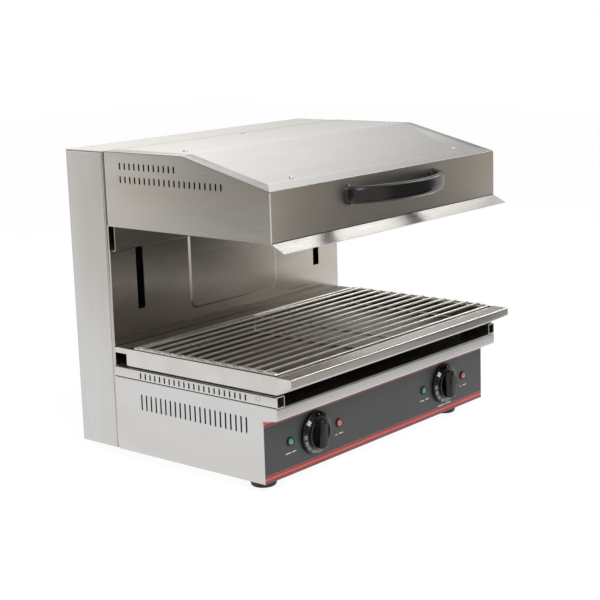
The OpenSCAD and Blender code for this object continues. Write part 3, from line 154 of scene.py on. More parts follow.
# %% A finish and its patterns
class Finish(Nodes):
    """A new material with its shader, and the patterns that finishes are made of."""

    def __init__(self, name, colour, metallic, roughness):
        self.material = bpy.data.materials.new(name)
        self.material.use_nodes = True
        super().__init__(self.material.node_tree)
        self.shader = self.tree.nodes["Principled BSDF"]
        self.shader.inputs["Base Color"].default_value = (*colour, 1)
        self.shader.inputs["Metallic"].default_value = metallic
        self.shader.inputs["Roughness"].default_value = roughness
        self.place = self.add("ShaderNodeTexCoord").outputs["Object"]

    def to(self, socket, source):
        """Feeds a socket of the shader."""
        self.feed(source, self.shader.inputs[socket])

    def source_of(self, socket):
        """The output that feeds a socket of the shader so far."""
        return self.shader.inputs[socket].links[0].from_socket

    def noise(self, scale, stretch=(1, 1, 1), detail=3.0, rough=0.5):
        """Noise on the object's own coordinates, squeezed by stretch along each axis."""
        mapping = self.add("ShaderNodeMapping")
        mapping.inputs["Scale"].default_value = stretch
        self.feed(self.place, mapping.inputs["Vector"])
        noise = self.add("ShaderNodeTexNoise")
        noise.inputs["Scale"].default_value = scale
        noise.inputs["Detail"].default_value = detail
        noise.inputs["Roughness"].default_value = rough
        self.feed(mapping.outputs["Vector"], noise.inputs["Vector"])
        return noise.outputs["Fac"]

    def past(self, axis, start):
        """How far the point lies past a plane across the axis, in metres."""
        split = self.add("ShaderNodeSeparateXYZ")
        self.feed(self.place, split.inputs["Vector"])
        return self.calc("SUBTRACT", split.outputs[axis], start)

    def in_from_sides(self, half_width):
        """How far the point lies inwards from the left or the right side, in metres."""
        return self.calc("SUBTRACT", half_width, self.calc("ABSOLUTE", self.past("X", 0)))

    def bump(self, height, depth, strength):
        """Bumps of this depth in metres, as a normal for the shader."""
        node = self.add("ShaderNodeBump")
        node.inputs["Distance"].default_value = depth
        node.inputs["Strength"].default_value = strength
        self.feed(height, node.inputs["Height"])
        return node.outputs["Normal"]


noise_span = (0.3, 0.7)  # most of a noise lies between these values


def dress(finish, *names):
    """Gives a finish to solids or new pieces, by name."""
    for name in names:
        slots = bpy.data.objects[name].data.materials
        slots.clear()
        slots.append(finish.material)


print("finish helper ready")

# %% [markdown]
# ## Where each solid belongs
# The solids arrive as loose triangles with sharp edges.  Where a shape is
# round, or a folded edge catches the light, a softer copy takes its place.
# Such a copy moves with the same body as its solid, so that body is looked up
# in the record first.

# %% Bodies, slots and selection
bodies = frame["record"]["behaviour"]["bodies"]
body_of = {node: body for body, members in bodies.items() for node in members}


def select_none():
    """Leaves nothing selected, because a tool acts on all that is."""
    bpy.ops.object.select_all(action="DESELECT")


def only(piece):
    """Selects one object and nothing else, and makes it the active one."""
    select_none()
    piece.select_set(True)
    bpy.context.view_layer.objects.active = piece


# %% [markdown]
# ## Long edges for the bevel
# Sheet is folded round a small radius, and each fold draws a thin bright line.
# A bevel gives it.  A bevel limited by angle would also take the rims of
# slots and holes, where it has no room and throws spikes, so the edges that
# are long and sharply bent get a weight, and the bevel goes by that.

# %% Weights for long edges
long_edge = 24 * mm
sharp_bend = math.radians(50)


def weigh_long_edges(mesh):
    """Gives a bevel weight of 1 to long, sharply bent edges, and none to the others."""
    sides = {}
    for polygon in mesh.polygons:
        for key in polygon.edge_keys:
            sides.setdefault(key, []).append(polygon.normal)
    weights = mesh.attributes.new("bevel_weight_edge", "FLOAT", "EDGE")
    for edge in mesh.edges:
        first, last = (mesh.vertices[number].co for number in edge.vertices)
        faces = sides.get(edge.key, [])
        is_long = (first - last).length > long_edge
        if is_long and len(faces) == 2 and faces[0].angle(faces[1]) > sharp_bend:
            weights.data[edge.index].value = 1


print("edges to ease are over", long_edge, "m and bent over", round(sharp_bend, 2), "rad")

# %% [markdown]
# ## Softer copies of the solids
# The copy's points are merged first, because loose triangles can't share a
# smooth normal.  Turned and moulded pieces then only need smooth shading up
# to an angle.  Folded sheets get more: their flat triangles are joined, the
# long edges are bevelled, and weighted normals keep the flats looking flat.

# %% Helper for softer copies
merge_gap = 0.002 * mm
flat_within = math.radians(0.6)
bevel_steps = 2
round_bend, sheet_bend = 32, 40  # edges bent by fewer degrees than this are shaded smooth
fold_width = 0.35 * mm


def soften(node, smooth, fold=0.0):
    """Puts a merged copy in a solid's place, smooth up to an angle, with its folds eased."""
    piece = bpy.data.objects.new(node + "_soft", frame["nodes"][node].data.copy())
    bpy.context.scene.collection.objects.link(piece)
    piece.data.materials.clear()
    only(piece)
    bpy.ops.object.mode_set(mode="EDIT")
    bpy.ops.mesh.select_all(action="SELECT")
    bpy.ops.mesh.remove_doubles(threshold=merge_gap)
    if fold:
        bpy.ops.mesh.dissolve_limited(angle_limit=flat_within)
    bpy.ops.object.mode_set(mode="OBJECT")
    if fold:
        weigh_long_edges(piece.data)
        bevel = piece.modifiers.new("fold", "BEVEL")
        bevel.width = fold
        bevel.segments = bevel_steps
        bevel.limit_method = "WEIGHT"
        bpy.ops.object.modifier_apply(modifier="fold")
    bpy.ops.object.shade_smooth_by_angle(angle=math.radians(smooth))
    if fold:
        piece.modifiers.new("flats", "WEIGHTED_NORMAL").keep_sharp = True
        bpy.ops.object.modifier_apply(modifier="flats")
    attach(piece, body_of[node])
    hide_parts(node)


print("softer copies merge points within", merge_gap, "m")

# %% Round solids and folded sheets
round_nodes = [
    "knob_left", "knob_right", "handle", "wire_rack", "lamp_bezels", "green_lenses",
    "red_lenses", "rail_screws", "hood_cover_screws", "rear_cover_screws", "feet",
    "cable_gland", "pulley_left", "pulley_right", "heater_left", "heater_right",
    "guide_rod_left", "guide_rod_right", "guide_bushings", "heater_insulators",
    "arm_bolts", "handle_screws", "shaft_left", "shaft_right", "rope_wraps",
    "hood_rope_runs", "weight_rope_runs",
]
folded_nodes = [
    "hood_top_cover", "hood_rear_plate", "front_deflector", "tower_side_left",
    "tower_side_right", "tower_top_cover", "base_side_left", "base_side_right",
    "base_deck", "rail_left", "rail_right", "grill_pan",
]
for node in round_nodes:
    soften(node, round_bend)
for node in folded_nodes:
    soften(node, sheet_bend, fold_width)
print("round solids made smooth:", len(round_nodes), "folded sheets eased:", len(folded_nodes))

# %% [markdown]
# ## Brushed stainless sheet
# The sheets are ground in one direction before they are folded, which leaves
# fine lines.  Real grooves would need millions of faces, so noise squeezed
# hard across the grain stands in for them, in colour, roughness and bump.  A
# second, slow noise, drawn out along the grain, gives the cloudy bands that
# heat and cleaning leave.

# %% Helper for brushed sheet
line_scale = {"along": 30, "across": 3600}  # changes in a metre
cloud_scale = {"along": 2.2, "across": 15}
line_contrast = 0.04
cloud_polish = 0.04
groove_depth = 0.004 * mm


def brushed_sheet(name, grain, colour=(0.61, 0.605, 0.595), rough=0.3, bands=0.05,
                  warm=(0.595, 0.58, 0.56), streak=0.0):
    """Stainless sheet whose grain runs along the named axes; bands is how dark its clouds are."""
    finish = Finish(name, colour, 1.0, rough)
    finish.shader.inputs["Anisotropic"].default_value = streak
    finish.shader.inputs["Anisotropic Rotation"].default_value = 0.25
    ways = ["along" if axis in grain else "across" for axis in "xyz"]
    line_stretch = [line_scale[way] for way in ways]
    cloud_stretch = [cloud_scale[way] for way in ways]
    lines = finish.noise(1.0, line_stretch, detail=4.0, rough=0.6)
    scuffs = finish.noise(0.3, line_stretch, detail=2.0, rough=0.7)
    clouds = finish.noise(1.0, cloud_stretch, detail=2.5, rough=0.55)
    cloudy = finish.rise(clouds, 0.36, 0.66)
    tint = finish.blend(cloudy, warm, colour)
    grainy = finish.calc("MULTIPLY", finish.spread(lines, 0.25, 0.75, -0.5, 0.5), line_contrast)
    light = finish.calc("ADD", grainy, finish.spread(clouds, *noise_span, 1 - bands, 1))
    finish.to("Base Color", finish.blend(1, tint, light, "MULTIPLY"))
    worn = finish.spread(scuffs, 0.35, 0.65, rough - 0.02, rough + 0.03)
    polish = finish.calc("MULTIPLY", cloudy, cloud_polish)
    finish.to("Roughness", finish.calc("SUBTRACT", worn, polish))
    finish.to("Normal", finish.bump(lines, groove_depth, 0.5))
    return finish


print("brushed sheet helper ready")

# %% [markdown]
# ## Which way each sheet is ground
# The tower is ground upright.  The hood is ground level all round, and the
# panels that face the front from side to side.  The tower's front and the
# hood's rear plate stand in the heat, so they are smoother and more yellow.
# One finish for all would lose these differences.

# %% Sheets of the tower, the hood and the front
upright_grain = brushed_sheet("stainless_upright_grain", "z")
cross_grain = brushed_sheet("stainless_cross_grain", "x")
heated_grain = brushed_sheet("stainless_heated", "x", (0.57, 0.555, 0.53), rough=0.22,
                             bands=0.08, warm=(0.54, 0.51, 0.47))
hood_grain = brushed_sheet("stainless_hood", "xy", rough=0.32, bands=0.10,
                           warm=(0.60, 0.57, 0.53), streak=0.4)
dress(upright_grain, "tower_side_left_soft", "tower_side_right_soft", "rear_cover")
dress(cross_grain, "base_floor", "base_deck_soft", "control_panel", "front_deflector_soft")
dress(heated_grain, "tower_front_panel", "hood_rear_plate_soft")
dress(hood_grain, "hood_shell")
print("sheet:", *(g.material.name for g in (upright_grain, cross_grain, heated_grain, hood_grain)))

# %% [markdown]
# ## Slots that look black
# The vent slots of the base and of the rails look black, because hardly any
# light comes back out of them.  A black plate behind each row would be a part
# that the machine doesn't have.  A mask does it: a number that is 1 on the
# cut walls, by their depth below the skin of the sheet, and the base colour is
# multiplied by a dark factor where the mask is 1.

# %% Slots of the base and the rails
side_wall = 1.2 * mm
below_skin = (0.12 * mm, 0.3 * mm)
# Painted shade for the walls of slots and other recesses, where little light gets in.
painted_recess_shade = (0.05, 0.05, 0.05)


def retone(finish, mask, factor):
    """Multiplies the base colour by a factor where the mask is 1."""
    finish.to("Base Color", finish.blend(mask, finish.source_of("Base Color"), factor, "MULTIPLY"))


def dark_slots(finish, node):
    """Darkens the cut walls of the slots in an upright side sheet, but not its front edge."""
    low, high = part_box(node)
    depth = finish.in_from_sides(max(abs(low.x), abs(high.x)))
    in_sheet = finish.calc("MULTIPLY", finish.rise(depth, *below_skin),
                           finish.fall(depth, side_wall + 0.05 * mm, side_wall + 0.1 * mm))
    past_front = finish.rise(finish.past("Y", low.y), 2 * mm, 2.4 * mm)
    retone(finish, finish.calc("MULTIPLY", in_sheet, past_front), painted_recess_shade)


for part in ("base_side", "rail"):
    part_grain = brushed_sheet("stainless_" + part, "xy", (0.67, 0.665, 0.66), rough=0.34,
                               warm=(0.66, 0.645, 0.63), streak=0.4)
    dark_slots(part_grain, part + "_left")
    dress(part_grain, part + "_left_soft", part + "_right_soft")
    print("slots darkened:", part)

# %% [markdown]
# ## The hood's inner sides and its hem
# Inside, the hood's sheets and the walls of its slots get a painted shade, as
# little light reaches them, and under its front a narrow gap above the
# deflector gets a painted line of black shade.  Painting faces by hand would
# leave jagged borders, so depth and height give both masks.

# %% Hood shell
painted_gap_shade = (0.08, 0.075, 0.07)
shell_low, shell_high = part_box("hood_shell")
from_side = hood_grain.in_from_sides(shell_high.x)
from_front = hood_grain.past("Y", shell_low.y)
from_skin = hood_grain.calc("MINIMUM", from_side, from_front)
# Painted shade on the inner faces and the slot walls of the hood.
retone(hood_grain, hood_grain.rise(from_skin, *below_skin), painted_recess_shade)
at_front = hood_grain.fall(from_front, 0.3 * mm, 0.5 * mm)
at_hem = hood_grain.fall(hood_grain.past("Z", shell_low.z), 1.0 * mm, 1.4 * mm)
# Painted shade line in the narrow gap above the deflector.
retone(hood_grain, hood_grain.calc("MULTIPLY", at_front, at_hem), painted_gap_shade)
print("hood shell from", round(shell_low.z, 4), "to", round(shell_high.z, 4))

# %% [markdown]
# ## The border of the hood's cover
# The cover has a border that slopes down on three sides.  Its side parts catch
# less light, its front part a little more, and the crease between them and the
# flat draws a bright line.  The slope itself is almost flat, so the masks
# carry the change of tone, with mitred corners.

# %% Hood cover
border = 22 * mm
fold_half = 0.3 * mm
roof_grain = brushed_sheet("stainless_roof", "x", bands=0.03)
roof_low, roof_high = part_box("hood_top_cover")
roof_in = roof_grain.in_from_sides(roof_high.x)
roof_back = roof_grain.past("Y", roof_low.y)
front_border = roof_grain.fall(roof_back, border - fold_half, border + fold_half)
inside_sides = roof_grain.rise(roof_in, border - fold_half, border + fold_half)
from_crease = roof_grain.calc("ABSOLUTE", roof_grain.calc("SUBTRACT", roof_back, border))
crease = roof_grain.calc("MULTIPLY", roof_grain.fall(from_crease, 0.5 * mm, 1.0 * mm),
                         inside_sides)
past_mitre = roof_grain.calc("SUBTRACT", roof_in, roof_grain.calc("MINIMUM", roof_back, border))
side_border = roof_grain.fall(past_mitre, -fold_half, fold_half)
# Painted shade on the side border, painted light on the front border and a painted highlight along
# the crease.
retone(roof_grain, front_border, (1.06, 1.06, 1.06))
retone(roof_grain, crease, (1.2, 1.2, 1.2))
retone(roof_grain, side_border, (0.56, 0.555, 0.55))
dress(roof_grain, "hood_top_cover_soft")
print("cover border", border, "m wide, of", round(roof_high.y - roof_low.y, 4))

# %% [markdown]
# ## The joint round the tower's front
# Where the tower's side and top sheets meet its front panel, the joint between
# them looks like a black line, which is shade in a narrow gap.  A real gap
# would be too narrow to catch any shadow here.  The front edge of each sheet is
# as thin as the joint, so a mask on its first half millimetre paints the shade.


# %% Tower edges
def paint_joint_shade(finish, node, factor):
    """Paints shade as a dark line along the front edge of a sheet."""
    front_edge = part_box(node)[0].y
    retone(finish, finish.fall(finish.past("Y", front_edge), 0.4 * mm, 0.6 * mm), factor)


top_grain = brushed_sheet("stainless_tower_top", "x")
paint_joint_shade(upright_grain, "tower_side_left", (0.16, 0.155, 0.15))
paint_joint_shade(top_grain, "tower_top_cover", (0.12, 0.12, 0.12))
dress(top_grain, "tower_top_cover_soft")

# %% [markdown]
# ## Grill pan, clean outside and browned inside
# Fat and heat brown the pan where food drips, while its lip and its flanges
# are wiped clean.  Two materials on one mesh would need faces picked by hand,
# so one finish covers the pan, and a mask inside the lip blends in the burnt
# colours and makes the metal duller.

# %% Grill pan
side_flange = 3.4 * mm
lip_depth = 31.4 * mm
browned_rough = 0.42
pan_grain = brushed_sheet("stainless_pan", "x", (0.68, 0.675, 0.665), rough=0.28,
                          bands=0.08, warm=(0.66, 0.64, 0.61))
pan_low, pan_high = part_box("grill_pan")
from_flange = pan_grain.in_from_sides(pan_high.x - side_flange)
from_lip = pan_grain.past("Y", pan_low.y + lip_depth)
browned = pan_grain.rise(pan_grain.calc("MINIMUM", from_flange, from_lip), 0, 0.3 * mm)
patches = pan_grain.rise(pan_grain.noise(14.0, detail=4.0), *noise_span)
burnt = pan_grain.blend(patches, (0.20, 0.18, 0.15), (0.29, 0.265, 0.23))
pan_grain.to("Base Color", pan_grain.blend(browned, pan_grain.source_of("Base Color"), burnt))
dull = pan_grain.calc("MULTIPLY", browned, browned_rough)
pan_grain.to("Roughness", pan_grain.calc("MAXIMUM", pan_grain.source_of("Roughness"), dull))
dress(pan_grain, "grill_pan_soft")
print("pan from", tuple(round(v, 4) for v in pan_low), "to", tuple(round(v, 4) for v in pan_high))

# %% [markdown]
# ## Rounded seams at the corners
# Where two walls of the pan's lip or of the hood meet, the corner is rounded,
# and its highlight draws a bright upright line.  A bevel of the whole shell
# would disturb its slots, so a thin rounded bead lies in each corner: a
# cylinder that is turned and moved in its mesh, and rides on the same body.
# Its steel is paler than the sheet, a painted highlight that brightens the line.

# %% Helper for seams
# Paler than the sheet: a painted highlight along the rounded corners.
seam_steel_painted_highlight = brushed_sheet("stainless_seam_painted_highlight", "xy", (0.80, 0.79, 0.77), rough=0.26,
                           warm=(0.76, 0.75, 0.73))


def hang(piece, name, finish, body):
    """Names a new piece, gives it its finish and slot, and lets it ride on a body."""
    piece.name = name
    piece.data.name = name
    piece.data.materials.clear()
    piece.data.materials.append(finish.material)
    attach(piece, body)


def bead(name, start, end, radius, node):
    """A thin rounded seam between two points, which rides with a solid."""
    start, end = Vector(start), Vector(end)
    select_none()
    bpy.ops.mesh.primitive_cylinder_add(vertices=12, radius=radius, depth=(end - start).length)
    piece = bpy.context.object
    turn = (end - start).to_track_quat("Z", "Y").to_matrix().to_4x4()
    piece.data.transform(Matrix.Translation((start + end) / 2) @ turn)
    bpy.ops.object.shade_smooth_by_angle(angle=math.radians(40))
    hang(piece, name, seam_steel_painted_highlight, body_of[node])


print("seam helper ready")

# %% Seams of the pan and the hood
lip_height = 13 * mm
pan_bead, hood_bead = 0.6 * mm, 0.75 * mm  # radius
pan_in, hood_in = 0.5 * mm, 0.45 * mm  # the bead's middle line, in from the corner
end_gap = 0.5 * mm
corner_zone = 1 * mm
pan_corner = (pan_low.x + pan_in, pan_low.y + pan_in)
bead("pan_corner_seam", (*pan_corner, pan_high.z - lip_height),
     (*pan_corner, pan_high.z - end_gap), pan_bead, "grill_pan")

shell_points = [vertex.co for vertex in frame["nodes"]["hood_shell"].data.vertices]
front_top = max(point.z for point in shell_points
                if abs(point.x) > shell_high.x - corner_zone
                and point.y < shell_low.y + corner_zone)
for side, across in (("left", shell_low.x + hood_in), ("right", shell_high.x - hood_in)):
    hood_corner = (across, shell_low.y + hood_in)
    bead("hood_seam_" + side, (*hood_corner, shell_low.z + end_gap),
         (*hood_corner, front_top - end_gap), hood_bead, "hood_shell")
print("hood seams end at", round(front_top, 4))

# %% [markdown]
# ## Heated metal
# The reflector and the heater tubes have been hot.  Bright sheet turns straw
# coloured in patches, and the tubes grow a dark grey scale.  Separate noises
# for colour and gloss would look like dirt, so one slow noise drives both on
# the sheet, and one fine noise colour, gloss and bumps on the tubes.

# %% Reflector
reflector = Finish("reflector_sheet", (0.66, 0.63, 0.58), 1.0, 0.2)
heat = reflector.noise(9.0, (1, 1.6, 1), rough=0.6)
reflector.to("Base Color", reflector.blend(reflector.rise(heat, 0.4, 0.68), (0.66, 0.63, 0.58),
                                           (0.50, 0.40, 0.26)))
reflector.to("Roughness", reflector.spread(heat, *noise_span, 0.16, 0.34))
reflector.to("Normal", reflector.bump(reflector.noise(30.0), 0.4 * mm, 0.3))
dress(reflector, "hood_reflector")
print("reflector:", reflector.material.name)

# %% Heater tubes
tube = Finish("heater_tube", (0.10, 0.095, 0.09), 1.0, 0.5)
scale_spots = tube.noise(260.0, detail=5.0)
tube.to("Base Color", tube.blend(tube.rise(scale_spots, 0.4, 0.65), (0.07, 0.062, 0.055),
                                 (0.17, 0.15, 0.13)))
tube.to("Roughness", tube.spread(scale_spots, *noise_span, 0.38, 0.62))
tube.to("Normal", tube.bump(scale_spots, 0.2 * mm, 0.5))
dress(tube, "heater_left_soft", "heater_right_soft")
print("heaters:", tube.material.name)

# %% [markdown]
# ## Plated wire and turned metal
# The rack is welded from drawn wire and plated: bright, with a slow waviness
# under the plating.  Screws, rods and pulleys are turned, and the hidden
# brackets are zinc plated.  They differ in colour, gloss and the size of the
# waves but not in kind, so one helper makes them all.


# %% Helper for plated metal
def shade(colour, level):
    """The same colour, darker or paler."""
    return tuple(level * c for c in colour)


def plated(name, colour, rough, wave_scale, depth, darker=0.8):
    """Metal with a slightly wavy plating and duller patches."""
    finish = Finish(name, colour, 1.0, rough)
    waves = finish.noise(wave_scale)
    finish.to("Base Color", finish.blend(finish.rise(waves, *noise_span), shade(colour, darker),
                                         colour))
    finish.to("Roughness", finish.spread(waves, *noise_span, rough + 0.08, rough - 0.04))
    finish.to("Normal", finish.bump(waves, depth, 0.5))
    return finish


print("plated metal helper ready")

# %% Wire, screws, rods and brackets
wire = plated("plated_wire", (0.76, 0.74, 0.70), rough=0.3, wave_scale=90,
              depth=0.01 * mm, darker=0.9)
screw = plated("screw_steel", (0.66, 0.65, 0.62), rough=0.22, wave_scale=600, depth=0.04 * mm)
zinc = plated("zinc_steel", (0.46, 0.46, 0.45), rough=0.32, wave_scale=240,
              depth=0.04 * mm, darker=0.7)
ground = plated("ground_steel", (0.72, 0.72, 0.72), rough=0.09, wave_scale=500,
                depth=0.01 * mm, darker=0.92)
aluminium = plated("pulley_metal", (0.60, 0.59, 0.57), rough=0.28, wave_scale=900,
                   depth=0.03 * mm)
bronze = plated("bushing_bronze", (0.42, 0.28, 0.10), rough=0.38, wave_scale=1500,
                depth=0.05 * mm, darker=0.6)
dress(wire, "wire_rack_soft")
dress(screw, "rear_cover_screws_soft", "rail_screws_soft", "hood_cover_screws_soft",
      "handle_screws_soft", "arm_bolts_soft", "shaft_left_soft", "shaft_right_soft",
      "rod_nuts", "pulley_axles")
dress(zinc, "upper_crossbar", "lower_crossbar", "pulley_brackets", "weight_guides",
      "lift_arm_left", "lift_arm_right", "heater_clips")
dress(ground, "guide_rod_left_soft", "guide_rod_right_soft")
dress(aluminium, "pulley_left_soft", "pulley_right_soft")
dress(bronze, "guide_bushings_soft")
print("materials in the file:", len(bpy.data.materials))

# %% [markdown]
# ## Wire rope
# The hood hangs on two ropes of twisted wire.  Modelled strands would be
# hundreds of thin coils inside the closed tower, so a slanting wave gives the
# twist in colour, gloss and bump.

# %% Wire rope
rope = Finish("rope_steel", (0.42, 0.42, 0.42), 1.0, 0.4)
strand = rope.add("ShaderNodeTexWave", wave_type="BANDS", bands_direction="DIAGONAL")
strand.inputs["Scale"].default_value = 240
strand.inputs["Distortion"].default_value = 0.4
rope.feed(rope.place, strand.inputs["Vector"])
twist = strand.outputs["Fac"]
rope.to("Base Color", rope.blend(twist, (0.10, 0.10, 0.10), (0.52, 0.52, 0.51)))
rope.to("Roughness", rope.spread(twist, 0, 1, 0.55, 0.3))
rope.to("Normal", rope.bump(twist, 0.4 * mm, 0.8))
dress(rope, "rope_wraps_soft", "hood_rope_runs_soft", "weight_rope_runs_soft")
print("rope:", rope.material.name)

# %% [markdown]
# ## Rough and cast things
# Cast iron has a coarse skin under its paint, mineral wool is a mat of short
# fibres, and the feet are moulded rubber with a little dust on them.  Single
# fibres or grains are too small to model, so one noise gives each surface
# its two tones and its bumps.


# %% Cast weight, wool and rubber
def rough_skin(name, low, high, rough, grit_scale, depth):
    """A dull surface whose bumps and two tones come from one noise."""
    finish = Finish(name, high, 0.0, rough)
    grit = finish.noise(grit_scale, detail=6.0, rough=0.65)
    finish.to("Base Color", finish.blend(finish.rise(grit, 0.35, 0.65), low, high))
    finish.to("Roughness", finish.spread(grit, *noise_span, rough - 0.08, rough + 0.06))
    finish.to("Normal", finish.bump(grit, depth, 0.7))
    return finish


cast = rough_skin("cast_weight", (0.03, 0.03, 0.032), (0.06, 0.06, 0.062),
                  rough=0.6, grit_scale=160, depth=0.6 * mm)
wool = rough_skin("mineral_wool", (0.05, 0.045, 0.035), (0.10, 0.09, 0.07),
                  rough=0.94, grit_scale=320, depth=1.5 * mm)
rubber = rough_skin("foot_rubber", (0.010, 0.010, 0.010), (0.022, 0.021, 0.021),
                    rough=0.62, grit_scale=700, depth=0.1 * mm)
dress(cast, "counterweight")
dress(wool, "hood_insulation")
dress(rubber, "feet_soft")
print("rough finishes:", cast.material.name, wool.material.name, rubber.material.name)

# %% [markdown]
# ## Moulded plastics
# Knobs and handle are polished black thermoset: nearly a mirror, with a faint
# orange-peel ripple and fine hairlines from wiping.  A clear coat would give
# too hard a mirror, so ripple and hairlines work on the gloss itself.  The
# bezels are a duller black, the switch bodies are cream, and the beads that
# hold the heaters are pale ceramic.


# %% Knobs, handle and other mouldings
def moulded(name, colour, rough, ripple_scale, depth):
    """Moulded plastic with an orange-peel ripple and wiping marks in its gloss."""
    finish = Finish(name, colour, 0.0, rough)
    peel = finish.noise(ripple_scale, detail=1.5)
    wipes = finish.noise(1.0, (60, 60, 420), detail=4.0, rough=0.6)
    finish.to("Base Color", finish.blend(finish.rise(wipes, *noise_span), shade(colour, 0.85),
                                         shade(colour, 1.2)))
    finish.to("Roughness", finish.spread(wipes, *noise_span, rough - 0.02, rough + 0.07))
    finish.to("Normal", finish.bump(peel, depth, 0.3))
    return finish


thermoset = moulded("black_thermoset", (0.005, 0.005, 0.0055), rough=0.1, ripple_scale=240,
                    depth=0.08 * mm)
thermoset.shader.inputs["Specular IOR Level"].default_value = 0.38
trim = moulded("black_trim", (0.008, 0.008, 0.008), rough=0.18, ripple_scale=500,
               depth=0.05 * mm)
cream = moulded("switch_plastic", (0.66, 0.62, 0.54), rough=0.42, ripple_scale=400,
                depth=0.1 * mm)
ceramic = moulded("ceramic", (0.78, 0.74, 0.66), rough=0.3, ripple_scale=700, depth=0.1 * mm)
dress(thermoset, "handle_soft", "knob_left_soft", "knob_right_soft")
dress(trim, "lamp_bezels_soft", "cable_gland_soft")
dress(cream, "thermostat_left", "thermostat_right", "terminal_block")
dress(ceramic, "heater_insulators_soft")
print("materials in the file:", len(bpy.data.materials))

# %% [markdown]
# ## Lamp lenses
# The pilot lamps are tinted plastic with small moulded facets inside.  Clear
# plastic would need a lamp behind it to look like anything, so the lens is a
# coated surface whose cells are pale in their middles and deep where they
# meet, with a faint painted glow that stands in for a lamp behind it.


# %% Lamp lenses
def lens(name, deep, pale):
    """Tinted lens: pale in the middle of a facet, deep where facets meet."""
    finish = Finish(name, deep, 0.0, 0.08)
    finish.shader.inputs["Coat Weight"].default_value = 0.8
    facets = finish.add("ShaderNodeTexVoronoi")
    facets.inputs["Scale"].default_value = 520
    finish.feed(finish.place, facets.inputs["Vector"])
    to_middle = facets.outputs["Distance"]
    finish.to("Base Color", finish.blend(finish.rise(to_middle, 0.1, 0.7), pale, deep))
    finish.to("Normal", finish.bump(to_middle, 0.5 * mm, 0.4))
    # Painted light: the lens glows faintly in its own colours.
    finish.to("Emission Color", finish.blend(to_middle, pale, deep))
    finish.shader.inputs["Emission Strength"].default_value = 0.12
    return finish


dress(lens("green_lens", (0.02, 0.27, 0.13), (0.06, 0.42, 0.24)), "green_lenses_soft")
dress(lens("red_lens", (0.62, 0.09, 0.085), (0.85, 0.22, 0.19)), "red_lenses_soft")
print("materials in the file:", len(bpy.data.materials))

# %% [markdown]
# ## Printed panel skin
# The control panel carries a plastic skin, printed dark grey with two groups
# of red stripes.  Stripes as thin solids would throw shadows.  Here a stripe
# is a band of height: the distance from its middle line is compared with half
# its width, and the soft edge of the comparison keeps the print from looking
# jagged.

# %% Printed panel skin
skin = Finish("panel_print", (0.062, 0.066, 0.071), 0.0, 0.34)
skin_low, skin_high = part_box("panel_overlay")
height = skin.past("Z", skin_low.z)
thin_rows = (1.4, 3.9, 10.2, 12.6, 92.3, 94.4, 100.9)
wide_rows = (7.0, 97.8)
thin_half, wide_half, soft_edge = 0.6, 1.5, 0.15


def stripes(rows, half_width):
    """1 on the stripes at these heights above the skin's lower edge, in mm, 0 elsewhere."""
    total = 0.0
    for row in rows:
        away = skin.calc("ABSOLUTE", skin.calc("SUBTRACT", height, row * mm))
        stripe = skin.fall(away, (half_width - soft_edge) * mm,
                           (half_width + soft_edge) * mm)
        total = skin.calc("MAXIMUM", total, stripe)
    return total


print_clouds = skin.noise(16.0)
grey_print = skin.blend(print_clouds, (0.044, 0.047, 0.050), (0.058, 0.060, 0.062))
with_thin = skin.blend(stripes(thin_rows, thin_half), grey_print, (0.50, 0.085, 0.08))
with_wide = skin.blend(stripes(wide_rows, wide_half), with_thin, (1.0, 0.11, 0.105))
skin.to("Base Color", with_wide)
skin.to("Roughness", skin.spread(print_clouds, *noise_span, 0.30, 0.42))
skin.to("Normal", skin.bump(skin.noise(900.0, detail=2.0), 0.05 * mm, 0.35))
dress(skin, "panel_overlay")
print("panel skin from", round(skin_low.z, 4), "to", round(skin_high.z, 4))

# %% [markdown]
# ## Ink, bars and figures
# The skin has short printed bars under the lamps, and the knobs have figures.
# A texture of them would need an image, so they are thin meshes.  A bar is a
# plane that is resized, rounded and given its thickness in edit mode.  A
# figure starts as text and becomes a mesh with a thin edge.

# %% Ink
ink_height = 0.06 * mm
stroke_boldness = 0.12 * mm


def printed(name, colour):
    """Flat ink with a slightly uneven tone."""
    finish = Finish(name, colour, 0.0, 0.5)
    ink = finish.noise(900.0)
    finish.to("Base Color", finish.blend(ink, shade(colour, 0.82), colour))
    finish.to("Normal", finish.bump(ink, 0.03 * mm, 0.4))
    return finish


ink_white = printed("ink_white", (0.86, 0.86, 0.84))
ink_grey = printed("ink_grey", (0.56, 0.56, 0.54))
print("inks:", ink_white.material.name, ink_grey.material.name)


# %% Helpers for bars and figures
def bar(width, tall, corner):
    """A thin printed bar round the origin, with rounded corners and its face up."""
    select_none()
    bpy.ops.mesh.primitive_plane_add(size=1)
    piece = bpy.context.object
    bpy.ops.object.mode_set(mode="EDIT")
    bpy.ops.transform.resize(value=(width, tall, 1))
    bpy.ops.mesh.bevel(offset=corner, segments=2, affect="VERTICES")
    bpy.ops.mesh.extrude_region_move(TRANSFORM_OT_translate={"value": (0, 0, ink_height)})
    bpy.ops.mesh.select_all(action="SELECT")
    bpy.ops.mesh.normals_make_consistent(inside=False)
    bpy.ops.object.mode_set(mode="OBJECT")
    return piece


